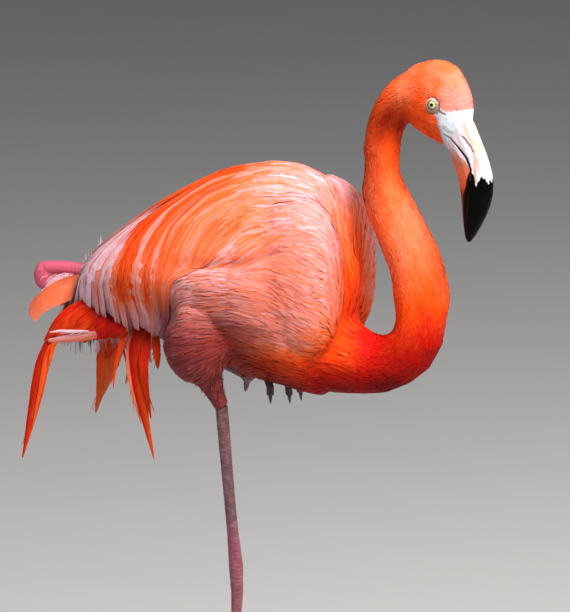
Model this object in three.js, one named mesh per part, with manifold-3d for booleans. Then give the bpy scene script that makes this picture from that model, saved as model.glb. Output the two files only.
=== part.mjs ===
// An adult American flamingo, life size, standing on its right leg with the left one folded.
// Millimetres. The bird faces -Y, its left side is +X, and +Z is up.
// Places are written as at(forward, left, height), and heights are measured from the hock
// of the standing leg. The whole bird is lifted at the end, so that its sole is at z = 0
// and the origin is the middle of the sole.

import * as THREE from "three";
import { mergeVertices } from "three/addons/utils/BufferGeometryUtils.js";
import Module from "manifold-3d";

const wasm = await Module();
wasm.setup();

// ---------------------------------------------------------------- driving dimensions

const GAP = 0.3; // between touching pieces
const WELD = 0.03; // corners closer than this are one corner

const HOCK_HEIGHT = 300; // of the standing leg, above the floor
const HOCK_LEFT = -12; // of the standing leg, from the middle plane of the trunk
const FOOT_AHEAD = -14; // of the foot joint, from the hock
const FOOT_LEFT = 0; // of the foot joint, from the middle plane
const FOOT_JOINT_HEIGHT = 15;
const SOLE_CENTRE_AHEAD = 38; // of the middle of the sole, from the foot joint

const TRUNK_FRONT = 132;
const TRUNK_REAR = -186;
const TRUNK_HALF_WIDTH = 95;
const WING_DEPTH = 0.3; // of the trunk's half width that a folded wing takes up

const EYE_RADIUS = 6.5;
const EYE_SPREAD = 17.5; // of an eye's centre, from the middle plane of the head
const HEAD_TURN = THREE.MathUtils.degToRad(25); // to the bird's right
const HEAD_CENTRE = [244, -30.8, 531]; // the point midway between the eyes

const TOE_LENGTHS = { inner: 68, middle: 84, outer: 74 };
const TOE_SPREAD = THREE.MathUtils.degToRad(31);
const TOE_RADIUS = 5;
const LEG_ROOM = 2; // left in the belly's feathers around the folded leg
const HIND_TOE_LENGTH = 19; // with its nail
const HIND_TOE_RADIUS = 3.6;
const KNUCKLE_RADIUS = 8;
const WEB_THICKNESS = 2.6;
const WEB_REACH = 0.72; // of the toes' length
const CLAW_LENGTH = 9;
const CLAW_RADIUS = 3;

// ---------------------------------------------------------------- places and profiles

const LEFT = new THREE.Vector3(1, 0, 0);
const UP = new THREE.Vector3(0, 0, 1);

// A place from its distance ahead, to the bird's left, and above the standing hock.
const at = (forward, left, height) => new THREE.Vector3(left, -forward, height);

// A smooth function through [x, value] pairs, with no overshoot between them.
function profile(...pairs) {
  const slopes = pairs.map(([x, value], i) => {
    if (i === 0 || i === pairs.length - 1) return 0;
    const before = (value - pairs[i - 1][1]) / (x - pairs[i - 1][0]);
    const after = (pairs[i + 1][1] - value) / (pairs[i + 1][0] - x);
    return before * after > 0 ? (2 * before * after) / (before + after) : 0;
  });
  return (x) => {
    const last = pairs.length - 1;
    if (x <= pairs[0][0]) return pairs[0][1];
    if (x >= pairs[last][0]) return pairs[last][1];
    const i = pairs.findIndex(([end]) => x < end) - 1;
    const span = pairs[i + 1][0] - pairs[i][0];
    const t = (x - pairs[i][0]) / span;
    const rise = t * t * (3 - 2 * t);
    const ease = (1 - t) * (1 - t) * t * slopes[i] - t * t * (1 - t) * slopes[i + 1];
    return pairs[i][1] + rise * (pairs[i + 1][1] - pairs[i][1]) + span * ease;
  };
}

// ---------------------------------------------------------------- closed shapes

// A closed skin over rings of the same number of points, with a fan over each end.
function loft(rings) {
  const count = rings[0].length;
  const points = rings.flat();
  const faces = [];
  for (let r = 0; r + 1 < rings.length; r++) {
    for (let i = 0; i < count; i++) {
      const a = r * count + i;
      const b = r * count + ((i + 1) % count);
      faces.push(a, b, b + count, a, b + count, a + count);
    }
  }
  for (const [first, turn] of [[0, true], [(rings.length - 1) * count, false]]) {
    const centre = new THREE.Vector3();
    for (let i = 0; i < count; i++) centre.add(points[first + i]);
    points.push(centre.divideScalar(count));
    for (let i = 0; i < count; i++) {
      const a = first + i;
      const b = first + ((i + 1) % count);
      faces.push(...(turn ? [b, a, points.length - 1] : [a, b, points.length - 1]));
    }
  }
  const geometry = new THREE.BufferGeometry().setFromPoints(points);
  geometry.setIndex(volumeOf(points, faces) < 0 ? faces.reverse() : faces);
  return geometry;
}

function volumeOf(points, faces) {
  let volume = 0;
  for (let i = 0; i < faces.length; i += 3) {
    const [a, b, c] = [points[faces[i]], points[faces[i + 1]], points[faces[i + 2]]];
    volume += a.dot(b.clone().cross(c)) / 6;
  }
  return volume;
}

// One oval ring: half is its half width along side, and reach its half height along up.
function ring(centre, side, up, { half, reach }, sides) {
  return Array.from({ length: sides }, (_, i) => {
    const angle = (2 * Math.PI * i) / sides;
    return centre
      .clone()
      .addScaledVector(side, half * Math.cos(angle))
      .addScaledVector(up, reach * Math.sin(angle));
  });
}

// A body swept along a curve between two shares of its length. Its size at a share is a
// radius, or the half width and reach of an oval.
function sweep({ curve, size, side = LEFT, from = 0, to = 1, steps = 8, sides = 10, grow = 0 }) {
  const rings = [];
  for (let i = 0; i <= steps; i++) {
    const share = from + ((to - from) * i) / steps;
    const tangent = curve.getTangentAt(share);
    const across = side.clone().addScaledVector(tangent, -side.dot(tangent)).normalize();
    const up = tangent.clone().cross(across);
    const { half = size(share), reach = half } = size(share);
    const centre = curve.getPointAt(share);
    if (i === 0) centre.addScaledVector(tangent, -grow);
    if (i === steps) centre.addScaledVector(tangent, grow);
    rings.push(ring(centre, across, up, { half: half + grow, reach: reach + grow }, sides));
  }
  return loft(rings);
}

const curveThrough = (...points) => new THREE.CatmullRomCurve3(points, false, "centripetal");

// Shares from 0 to 1 that crowd towards both ends, for the rounded ends of a body.
const eased = (i, steps) => 0.5 - 0.5 * Math.cos((Math.PI * i) / steps);

// ---------------------------------------------------------------- joining and cutting

function solid(geometry) {
  const bare = new THREE.BufferGeometry();
  bare.setAttribute("position", geometry.getAttribute("position"));
  if (geometry.getIndex()) bare.setIndex(geometry.getIndex());
  const merged = mergeVertices(bare, 1e-4);
  return new wasm.Manifold(
    new wasm.Mesh({
      numProp: 3,
      vertProperties: new Float32Array(merged.getAttribute("position").array),
      triVerts: new Uint32Array(merged.getIndex().array),
    }),
  );
}

const join = (...solids) => solids.reduce((all, one) => all.add(one));
const cut = (body, ...tools) => tools.reduce((left, tool) => left.subtract(tool), body);

// The largest single body of a solid, as a geometry. Corners closer than WELD become one,
// and the slivers that this closes up are dropped.
function geometryOf(body) {
  const largest = body.decompose().reduce((a, b) => (a.volume() > b.volume() ? a : b));
  const { vertProperties, triVerts } = largest.getMesh();
  const raw = new THREE.BufferGeometry();
  raw.setAttribute("position", new THREE.BufferAttribute(vertProperties, 3));
  raw.setIndex(new THREE.BufferAttribute(triVerts, 1));
  const geometry = mergeVertices(raw, WELD);
  const corners = geometry.getIndex().array;
  const kept = [];
  for (let i = 0; i < corners.length; i += 3) {
    const [a, b, c] = corners.slice(i, i + 3);
    if (a !== b && b !== c && c !== a) kept.push(a, b, c);
  }
  geometry.setIndex(kept);
  geometry.computeVertexNormals();
  return geometry;
}

// ---------------------------------------------------------------- trunk and wings

// Heights of the back and the belly, and the half width, by the distance ahead.
const backLine = profile(
  [TRUNK_REAR, 298], [-165, 335], [-127, 369], [-60, 414],
  [0, 443], [50, 451], [100, 434], [TRUNK_FRONT, 345],
);
const bellyLine = profile(
  [TRUNK_REAR, 290], [-150, 284], [-90, 270], [-40, 245],
  [10, 218], [60, 206], [105, 198], [TRUNK_FRONT, 290],
);
const trunkHalf = profile(
  [TRUNK_REAR, 12], [-160, 50], [-110, 78], [-50, 92],
  [10, TRUNK_HALF_WIDTH], [70, 88], [110, 66], [TRUNK_FRONT, 12],
);

function trunkLoft(grow = 0) {
  const steps = 19;
  const rings = [];
  for (let i = 0; i <= steps; i++) {
    const share = eased(i, steps);
    const forward = THREE.MathUtils.lerp(TRUNK_REAR, TRUNK_FRONT, share);
    const shift = grow * (2 * share - 1);
    const middle = (backLine(forward) + bellyLine(forward)) / 2;
    const reach = (backLine(forward) - bellyLine(forward)) / 2 + grow;
    const size = { half: trunkHalf(forward) + grow, reach };
    rings.push(ring(at(forward + shift, 0, middle), LEFT, UP, size, 20));
  }
  return solid(loft(rings));
}

// The rounded front of one side of the breast, beside the hollow that the neck lies in.
const SHOULDER = { rear: 40, length: 93, left: 46, height: 346, drop: 14, half: 43, reach: 92 };
const SHOULDER_SQUARENESS = 0.28; // 0.5 for an ellipse, 0 for a box

function shoulder(sign) {
  const steps = 8;
  const rings = [];
  for (let i = 0; i <= steps; i++) {
    const share = eased(i, steps);
    const swell = Math.max((4 * share * (1 - share)) ** SHOULDER_SQUARENESS, 0.1);
    const forward = SHOULDER.rear + SHOULDER.length * share;
    const height = SHOULDER.height - SHOULDER.drop * share;
    const size = { half: SHOULDER.half * swell, reach: SHOULDER.reach * swell };
    rings.push(ring(at(forward, sign * SHOULDER.left, height), LEFT, UP, size, 16));
  }
  return solid(loft(rings));
}

// The block that a folded wing is cut out with: everything outside a share of the trunk's
// half width, between the wing's upper and lower edges.
const WING_REAR = TRUNK_REAR + 4;
const WING_FRONT = 96;
const wingUpperEdge = profile([-196, 300], [-120, 352], [0, 412], [60, 420], [WING_FRONT, 402]);
const wingLowerEdge = profile([-196, 286], [-120, 275], [-40, 288], [40, 318], [WING_FRONT, 350]);

function wingBlock(sign, grow) {
  const steps = 14;
  const rings = [];
  for (let i = 0; i <= steps; i++) {
    const forward = THREE.MathUtils.lerp(WING_REAR, WING_FRONT, i / steps);
    const shift = grow * (i === 0 ? -1 : i === steps ? 1 : 0);
    const inner = sign * (trunkHalf(forward) * (1 - WING_DEPTH) - 2 * grow);
    const outer = sign * 1.3 * TRUNK_HALF_WIDTH;
    const top = wingUpperEdge(forward) + grow;
    const bottom = wingLowerEdge(forward) - grow;
    rings.push([
      at(forward + shift, inner, bottom), at(forward + shift, outer, bottom),
      at(forward + shift, outer, top), at(forward + shift, inner, top),
    ]);
  }
  return solid(loft(rings));
}

// ---------------------------------------------------------------- neck

const neckCurve = curveThrough(
  at(95, 0, 254), at(135, 0, 242), at(170, 0, 244), at(197, 0, 264), at(206, 0, 300),
  at(201, 0, 345), at(181, 0, 388), at(163, 0, 426), at(160, 0, 466), at(168, -1, 502),
  at(190, -6, 530), at(224, -22, 546),
);
const neckRadius = profile(
  [0, 50], [0.1, 38], [0.19, 30], [0.28, 28], [0.4, 26],
  [0.55, 23.5], [0.68, 20.5], [0.8, 20], [0.92, 22], [1, 19],
);
const [TRUNK_CUT, LOWER_CUT, MIDDLE_CUT, HEAD_CUT] = [0.2, 0.44, 0.66, 0.87];

const neckLength = (from, to, grow = 0) => {
  const gapShare = GAP / neckCurve.getLength();
  const steps = Math.max(4, Math.round((to - from) * 26));
  return solid(
    sweep({ curve: neckCurve, size: neckRadius, from, to: to - gapShare, steps, sides: 14, grow }),
  );
};

// ---------------------------------------------------------------- head and bill

const AHEAD_OF_HEAD = at(Math.cos(HEAD_TURN), -Math.sin(HEAD_TURN), 0);
const LEFT_OF_HEAD = at(Math.sin(HEAD_TURN), Math.cos(HEAD_TURN), 0);

// A place on the head, from the point midway between the eyes.
const onHead = (ahead, height, left = 0) =>
  at(...HEAD_CENTRE)
    .addScaledVector(AHEAD_OF_HEAD, ahead)
    .addScaledVector(LEFT_OF_HEAD, left)
    .addScaledVector(UP, height);

const HEAD_REAR = -66;
const HEAD_FRONT = 34;
const crownLine = profile(
  [HEAD_REAR, 6], [-52, 30], [-34, 38.5], [-8, 44], [8, 41], [19.5, 30], [27.5, 19], [32, 6], [HEAD_FRONT, -4],
);
const throatLine = profile(
  [HEAD_REAR, -6], [-52, -26], [-34, -37], [-8, -44], [6, -47], [16, -43], [26, -31], [HEAD_FRONT, -8],
);
const headHalf = profile(
  [HEAD_REAR, 5], [-50, 19], [-30, 22], [0, 23], [17, 19], [26, 14], [31.5, 8], [HEAD_FRONT, 3],
);

function headLoft(grow) {
  const steps = 12;
  const rings = [];
  for (let i = 0; i <= steps; i++) {
    const share = eased(i, steps);
    const ahead = THREE.MathUtils.lerp(HEAD_REAR, HEAD_FRONT, share);
    const shift = grow * (2 * share - 1);
    const middle = (crownLine(ahead) + throatLine(ahead)) / 2;
    const reach = (crownLine(ahead) - throatLine(ahead)) / 2 + grow;
    const size = { half: headHalf(ahead) + grow, reach };
    rings.push(ring(onHead(ahead + shift, middle), LEFT_OF_HEAD, UP, size, 16));
  }
  return solid(loft(rings));
}

// The bill in the head's middle plane: its ridge, its lower edge, and the line of the gape.
// Each point is a distance ahead and a height.
const outline = (...points) => new THREE.SplineCurve(points.map(([x, y]) => new THREE.Vector2(x, y)));
const ridge = outline(
  [28, 4], [36.5, -14], [51, -38], [63, -60], [67, -80], [61, -102], [48.5, -123], [36, -140.5],
);
const keel = outline(
  [-8, -38], [7, -49], [15.5, -62], [22.5, -77], [26.5, -95], [28.5, -114], [31, -130], [33.5, -140.5],
);
const gape = outline(
  [-12, -20], [13.5, -30], [28, -38], [42, -49.5], [48.5, -61], [48, -72], [44, -88], [38, -112], [34, -150],
);
const billHalf = profile([0, 12], [0.2, 13], [0.45, 12], [0.65, 11], [0.85, 8], [0.95, 4.5], [1, 1.2]);

function billLoft() {
  const steps = 13;
  const rings = [];
  for (let i = 0; i <= steps; i++) {
    const share = i / steps;
    const top = ridge.getPoint(share);
    const bottom = keel.getPoint(share);
    const up = onHead(top.x, top.y).sub(onHead(bottom.x, bottom.y));
    const reach = up.length() / 2;
    const centre = onHead((top.x + bottom.x) / 2, (top.y + bottom.y) / 2);
    rings.push(ring(centre, LEFT_OF_HEAD, up.normalize(), { half: billHalf(share), reach }, 12));
  }
  return solid(loft(rings));
}

// Everything on the keel's side of the gape, as one thick slab across the head.
const SLAB = { halfWidth: 40, back: 70, down: 30 };

function lowerSide(grow) {
  const steps = 10;
  const rings = [];
  for (let i = 0; i <= steps; i++) {
    const edge = gape.getPoint(i / steps);
    const along = gape.getTangent(i / steps);
    const x = edge.x - along.y * grow;
    const y = edge.y + along.x * grow;
    const [left, right] = [SLAB.halfWidth, -SLAB.halfWidth];
    const [farX, farY] = [x - SLAB.back, y - SLAB.down];
    rings.push([
      onHead(x, y, right), onHead(x, y, left), onHead(farX, farY, left), onHead(farX, farY, right),
    ]);
  }
  return solid(loft(rings));
}

const eyeBall = (sign, grow) => {
  const ball = new THREE.SphereGeometry(EYE_RADIUS + grow, 12, 8);
  return solid(ball.translate(...onHead(0, 0, sign * EYE_SPREAD).toArray()));
};

// ---------------------------------------------------------------- legs

const legs = {
  right: {
    thigh: curveThrough(at(-16, -66, 300), at(-19, -68, 262), at(-13, -54, 222), at(-5, -38, 189)),
    thighRadius: profile([0, 30], [0.3, 39], [0.5, 34], [0.59, 26], [0.68, 16], [0.8, 12], [1, 9]),
    shank: curveThrough(at(-5, -38, 189), at(-3, -24, 95), at(0, HOCK_LEFT, 8)),
    tarsus: curveThrough(
      at(0, HOCK_LEFT, 8),
      at(0.5, HOCK_LEFT + 2, -6),
      at(FOOT_AHEAD / 2, (HOCK_LEFT + FOOT_LEFT) / 2, -HOCK_HEIGHT / 2),
      at(FOOT_AHEAD, FOOT_LEFT, FOOT_JOINT_HEIGHT - HOCK_HEIGHT),
    ),
  },
  left: {
    thigh: curveThrough(at(40, 62, 262), at(-20, 72, 268), at(-120, 68, 285), at(-212, 70, 292)),
    thighRadius: profile([0, 26], [0.2, 38], [0.45, 30], [0.72, 12], [1, 8]),
    shank: curveThrough(at(-212, 70, 294), at(-236, 70, 294.5), at(-258, 70, 293)),
    tarsus: curveThrough(at(-260, 69, 276), at(-200, 60, 260), at(-130, 50, 243), at(-5, 32, 206)),
  },
};

// The folded hock: a knob at the tarsus' head, which wraps round the end of the shank.
const HOCK_KNOB = { place: at(-261, 70, 284), size: new THREE.Vector3(9.5, 12, 16.5) };

function hockKnob(grow) {
  const { place, size } = HOCK_KNOB;
  const ball = new THREE.SphereGeometry(1, 12, 8);
  ball.scale(size.x + grow, size.y + grow, size.z + grow);
  return solid(ball.translate(...place.toArray()));
}

const shankRadius = { right: profile([0, 7], [0.6, 6.2], [0.85, 6.4], [1, 8]), left: () => 8 };
const tarsusRadius = {
  right: profile([0, 8], [0.05, 8.2], [0.14, 5.6], [0.9, 5.4], [1, 6.5]),
  left: profile([0, 7.5], [0.12, 6], [0.9, 5.4], [1, 6]),
};

const thigh = (name, grow = 0) =>
  solid(sweep({ curve: legs[name].thigh, size: legs[name].thighRadius, steps: 9, sides: 12, grow }));

const shank = (name, grow = 0) => {
  const curve = legs[name].shank;
  const gapShare = GAP / curve.getLength();
  const size = shankRadius[name];
  return solid(sweep({ curve, size, from: gapShare, to: 1 - gapShare, steps: 5, grow }));
};

function tarsus(name, grow = 0) {
  const size = tarsusRadius[name];
  const length = solid(sweep({ curve: legs[name].tarsus, size, steps: 10, grow }));
  return name === "left" ? join(length, hockKnob(grow)) : length;
}

// ---------------------------------------------------------------- feet

// A toe's course from the foot joint: share of its reach ahead, and height over the joint.
const toeCourse = {
  right: [[0, -6], [0.2, -11.7], [0.6, -11.9], [1, -12.3]],
  left: [[0, 0], [0.45, 4], [0.8, 2], [0.98, -6], [1, -17]],
};

// How far ahead each toe reaches before its end, as a share of its length. The folded
// foot's toes hang down at their ends.
const toeReach = {
  right: { inner: 1, middle: 1, outer: 1 },
  left: { inner: 0.46, middle: 0.57, outer: 0.76 },
};

const footJoint = (name) => legs[name].tarsus.getPointAt(1);

// Where each front toe points, to the left of straight ahead. The inner toe is the one
// nearer to the other leg.
const frontToes = (name) => {
  const inward = name === "right" ? 1 : -1;
  return {
    inner: { reach: TOE_LENGTHS.inner * toeReach[name].inner, turn: inward * TOE_SPREAD },
    middle: { reach: TOE_LENGTHS.middle * toeReach[name].middle, turn: 0 },
    outer: { reach: TOE_LENGTHS.outer * toeReach[name].outer, turn: -inward * TOE_SPREAD },
  };
};

// The folded foot's toes lie closer together.
const TOE_CLOSING = { right: 1, left: 0.55 };

function toeCurve(name, toe) {
  const joint = footJoint(name);
  const turn = toe.turn * TOE_CLOSING[name];
  const points = toeCourse[name].map(([share, height]) => {
    const ahead = share * toe.reach;
    return joint.clone().add(at(ahead * Math.cos(turn), ahead * Math.sin(turn), height));
  });
  return curveThrough(...points);
}

const hindToeCurve = (name) => {
  const joint = footJoint(name);
  const end = name === "right" ? at(-HIND_TOE_LENGTH, 2, -6) : at(-3, 0, -HIND_TOE_LENGTH);
  return curveThrough(joint, joint.clone().addScaledVector(end, 0.5), joint.clone().add(end));
};

const toeRadius = {
  right: profile([0, TOE_RADIUS], [0.5, TOE_RADIUS * 0.86], [1, TOE_RADIUS * 0.66]),
  left: () => TOE_RADIUS * 0.86,
};
const hindToeRadius = profile([0, HIND_TOE_RADIUS], [0.6, HIND_TOE_RADIUS], [1, 0.7]);

function web(curveA, curveB) {
  const steps = 5;
  const rings = [];
  for (let i = 0; i <= steps; i++) {
    const share = THREE.MathUtils.lerp(0.12, WEB_REACH, i / steps);
    const [a, b] = [curveA.getPointAt(share), curveB.getPointAt(share)];
    const across = b.clone().sub(a);
    const up = curveA.getTangentAt(share).cross(across).normalize();
    const rise = up.multiplyScalar(WEB_THICKNESS / 2);
    rings.push([a.clone().sub(rise), b.clone().sub(rise), b.clone().add(rise), a.clone().add(rise)]);
  }
  return solid(loft(rings));
}

function foot(name, grow = 0) {
  const toes = frontToes(name);
  const curves = [toes.inner, toes.middle, toes.outer].map((toe) => toeCurve(name, toe));
  const digit = (curve) => solid(sweep({ curve, size: toeRadius[name], steps: 5, sides: 7, grow }));
  const hindCurve = hindToeCurve(name);
  const hind = solid(sweep({ curve: hindCurve, size: hindToeRadius, steps: 4, sides: 6, grow }));
  const knuckle = new THREE.SphereGeometry(KNUCKLE_RADIUS + grow, 8, 6);
  knuckle.translate(...footJoint(name).toArray());
  const webs = [web(curves[0], curves[1]), web(curves[1], curves[2])];
  return join(...curves.map(digit), ...webs, hind, solid(knuckle));
}

// What lies below the floor, down to well under any toe.
function underFloor() {
  const depth = 4 * FOOT_JOINT_HEIGHT;
  const box = new THREE.BoxGeometry(HOCK_HEIGHT, HOCK_HEIGHT, depth);
  return solid(box.translate(0, 0, -HOCK_HEIGHT - depth / 2));
}

// A short flat nail beyond the end of a toe.
function claw(curve) {
  const end = curve.getPointAt(1);
  const direction = curve.getTangentAt(1);
  const nail = curveThrough(
    end.clone().addScaledVector(direction, GAP),
    end.clone().addScaledVector(direction, GAP + CLAW_LENGTH / 2),
    end.clone().addScaledVector(direction, GAP + CLAW_LENGTH),
  );
  const taper = profile([0, CLAW_RADIUS], [0.5, CLAW_RADIUS * 0.75], [1, CLAW_RADIUS * 0.2]);
  const section = (share) => ({ half: taper(share), reach: taper(share) * 0.7 });
  return solid(sweep({ curve: nail, size: section, steps: 3, sides: 6 }));
}

// ---------------------------------------------------------------- tail and plumes

const tailCurve = curveThrough(at(-160, 0, 294), at(-200, 0, 285), at(-232, -2, 261));
const tailHalf = profile([0, 26], [0.5, 36], [0.85, 30], [1, 10]);
const tailSection = (share) => ({ half: tailHalf(share), reach: 14 - 7 * share });

// Long loose feathers that hang from under the folded wings. Each blade is upright, so its
// width lies fore and aft.
const FORE_AND_AFT = at(1, 0, 0);
const PLUME_THICKNESS = 3;
const plumes = {
  plume_right_rear: {
    curve: curveThrough(
      at(-150, -52, 292), at(-185, -58, 262), at(-207, -60, 225), at(-218, -60, 175), at(-229, -60, 113),
    ),
    half: profile([0, 12], [0.35, 7], [0.6, 7.5], [0.85, 4.5], [1, 1]),
  },
  plume_right_front: {
    curve: curveThrough(at(-88, -52, 262), at(-88, -56, 222), at(-84, -58, 170), at(-72, -60, 127)),
    half: profile([0, 12], [0.3, 11], [0.6, 7], [1, 1]),
  },
  plume_left: {
    curve: curveThrough(at(-144, 34, 270), at(-164, 38, 234), at(-180, 40, 196), at(-194, 42, 142)),
    half: profile([0, 10], [0.35, 17], [0.65, 12], [1, 1.5]),
  },
};

function plume({ curve, half }) {
  const section = (share) => ({ half: half(share), reach: PLUME_THICKNESS / 2 });
  return solid(sweep({ curve, size: section, side: FORE_AND_AFT, steps: 8, sides: 8 }));
}

// ---------------------------------------------------------------- the bird

const bird = new THREE.Group();
bird.position.copy(at(-FOOT_AHEAD - SOLE_CENTRE_AHEAD, -FOOT_LEFT, HOCK_HEIGHT));

const FINISH = {
  plumage: [0xf2683f, 0.85],
  wing: [0xf0a083, 0.85],
  plume: [0xea4a1c, 0.8],
  billPale: [0xf3e2dc, 0.45],
  eye: [0xe8dc96, 0.15],
  leg: [0xc9727c, 0.6],
  foot: [0x6b4a4e, 0.65],
  claw: [0x2a2426, 0.5],
};

function add(name, body, finish) {
  const [color, roughness] = FINISH[finish];
  const material = new THREE.MeshStandardMaterial({ color, roughness, metalness: 0 });
  const mesh = new THREE.Mesh(geometryOf(body), material);
  mesh.name = name;
  bird.add(mesh);
}

const SIDES = [["right", -1], ["left", 1]];

// The legs, and what each takes out of the trunk
add("shank_right", shank("right"), "leg");
add("shank_left", cut(shank("left"), tarsus("left", GAP)), "leg");
add("tarsus_right", cut(tarsus("right"), foot("right", GAP)), "leg");
add("tarsus_left", cut(tarsus("left"), foot("left", GAP)), "leg");
add("foot_right", cut(foot("right"), underFloor()), "foot");
add("foot_left", foot("left"), "foot");
for (const [name] of SIDES) {
  const toes = frontToes(name);
  for (const [which, toe] of Object.entries(toes)) {
    add(`claw_${name}_${which}`, claw(toeCurve(name, toe)), "claw");
  }
}

// The trunk with its wings, parted
const trunkWhole = join(trunkLoft(), shoulder(-1), shoulder(1), neckLength(0, TRUNK_CUT));
const thighSpace = [thigh("right", GAP), thigh("left", GAP)];
const foldedLegSpace = [tarsus("left", LEG_ROOM), foot("left", LEG_ROOM)];
const neckSpace = neckLength(TRUNK_CUT, LOWER_CUT, GAP);
const trunkSpace = [wingBlock(-1, GAP), wingBlock(1, GAP), ...thighSpace, ...foldedLegSpace, neckSpace];
const trunk = cut(trunkWhole, ...trunkSpace);
add("trunk", trunk, "plumage");
for (const [name, sign] of SIDES) {
  const wing = trunkWhole.intersect(wingBlock(sign, 0));
  add(`wing_${name}`, cut(wing, thigh(name, GAP)), "wing");
  add(`thigh_${name}`, cut(thigh(name), shank(name, GAP), tarsus("left", LEG_ROOM)), "plumage");
}

// Tail and plumes, cut free of the trunk, wings and legs
const body = [trunkLoft(GAP), ...thighSpace, shank("left", GAP), tarsus("left", GAP)];
const tail = (grow) => solid(sweep({ curve: tailCurve, size: tailSection, steps: 6, sides: 10, grow }));
add("tail", cut(tail(0), ...body), "plume");
for (const [name, shape] of Object.entries(plumes)) {
  add(name, cut(plume(shape), ...body, tail(GAP)), "plume");
}

// Neck
add("neck_lower", neckLength(TRUNK_CUT, LOWER_CUT), "plumage");
add("neck_middle", neckLength(LOWER_CUT, MIDDLE_CUT), "plumage");
add("neck_upper", neckLength(MIDDLE_CUT, HEAD_CUT), "plumage");

// Head
const headWhole = join(headLoft(0), neckLength(HEAD_CUT, 1));
const headSpace = headLoft(2 * GAP);
const eyeSpace = [eyeBall(-1, GAP), eyeBall(1, GAP)];
add("head", cut(headWhole, neckLength(MIDDLE_CUT, HEAD_CUT, GAP), ...eyeSpace), "plumage");
add("bill_lower", cut(billLoft(), headSpace, ...eyeSpace).intersect(lowerSide(0)), "billPale");
add("bill_upper", cut(billLoft(), headSpace, lowerSide(GAP), ...eyeSpace), "billPale");
for (const [name, sign] of SIDES) {
  add(`eye_${name}`, eyeBall(sign, 0), "eye");
}

export default bird;
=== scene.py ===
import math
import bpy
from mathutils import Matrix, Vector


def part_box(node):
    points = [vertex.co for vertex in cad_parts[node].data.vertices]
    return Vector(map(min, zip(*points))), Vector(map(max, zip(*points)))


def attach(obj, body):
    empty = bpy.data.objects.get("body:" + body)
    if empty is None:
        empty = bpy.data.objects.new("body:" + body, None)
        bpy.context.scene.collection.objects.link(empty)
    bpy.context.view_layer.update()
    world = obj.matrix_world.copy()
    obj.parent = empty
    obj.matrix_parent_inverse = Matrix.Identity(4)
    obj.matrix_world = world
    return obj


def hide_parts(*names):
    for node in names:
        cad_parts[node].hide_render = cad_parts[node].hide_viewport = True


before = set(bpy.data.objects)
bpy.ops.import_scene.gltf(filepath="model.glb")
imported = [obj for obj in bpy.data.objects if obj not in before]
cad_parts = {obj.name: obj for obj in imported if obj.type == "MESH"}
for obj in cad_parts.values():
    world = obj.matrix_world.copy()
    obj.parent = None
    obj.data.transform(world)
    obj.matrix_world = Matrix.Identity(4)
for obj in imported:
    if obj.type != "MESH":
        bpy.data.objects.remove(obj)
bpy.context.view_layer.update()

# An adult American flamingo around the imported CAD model: one skin over the flesh, solid
# feathers that grow from it, and a separate bill, eyes, legs, claws, tail and plumes.
# Lengths are in millimetres in the row frame until a mesh is made. The bird faces -Y and
# its left side is +X. Places on the body are written at(forward, left, height), measured
# from the hock of the standing leg.

from types import SimpleNamespace

import bmesh
import bpy
import numpy as np
from mathutils import Vector
from mathutils.bvhtree import BVHTree

MM = 0.001
UP = np.array([0.0, 0.0, 1.0])


# ---------------------------------------------------------------- places

def node_box(name):
    low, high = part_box(name)
    return np.array(low) / MM, np.array(high) / MM


HOCK_Y = node_box("trunk")[1][1] - 186  # the trunk ends 186 behind the hock
HOCK_Z = node_box("tarsus_right")[1][2] - 8  # the tarsus starts 8 above the hock


def at(forward, left, height):
    return np.array([left, HOCK_Y - forward, HOCK_Z + height], float)


def way(forward, left, height):
    """A direction, from its parts forward, left and up."""
    return unit(np.array([left, -forward, height], float))


def body_places(points):
    """Row-frame points as forward, left and height from the standing hock."""
    return HOCK_Y - points[..., 1], points[..., 0], points[..., 2] - HOCK_Z


def unit(vectors):
    length = np.linalg.norm(vectors, axis=-1, keepdims=True)
    return vectors / np.maximum(length, 1e-9)


def middle(name):
    low, high = node_box(name)
    return (low + high) / 2


# The head's own frame: from the point midway between the eyes, ahead and to its left.
HEAD = (middle("eye_right") + middle("eye_left")) / 2
HEAD_LEFT = unit(middle("eye_left") - middle("eye_right"))
HEAD_AHEAD = np.cross(HEAD_LEFT, UP)
EYE_RADIUS = (node_box("eye_right")[1] - node_box("eye_right")[0])[2] / 2


def on_head(ahead, height, left=0.0):
    return HEAD + HEAD_AHEAD * ahead + UP * height + HEAD_LEFT * left


def head_places(points):
    """Row-frame points as ahead, height and left on the head."""
    offset = points - HEAD
    return offset @ HEAD_AHEAD, offset @ UP, offset @ HEAD_LEFT


# ---------------------------------------------------------------- small maths

def ease(low, high, value):
    """0 at low, 1 at high, smooth between them."""
    t = np.clip((value - low) / (high - low), 0, 1)
    return t * t * (3 - 2 * t)


def bell(distance, width):
    return np.exp(-((distance / width) ** 2))


def ripple(points, wavelength, seed):
    """A smooth wandering value, about -1 to 1, over places in millimetres."""
    rng = np.random.default_rng(seed)
    total = np.zeros(len(points))
    for _ in range(6):
        wave = unit(rng.normal(size=3)) * 2 * math.pi / (wavelength * rng.uniform(0.7, 1.5))
        total += np.sin(points @ wave + rng.uniform(0, 2 * math.pi))
    return total / 3


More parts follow.
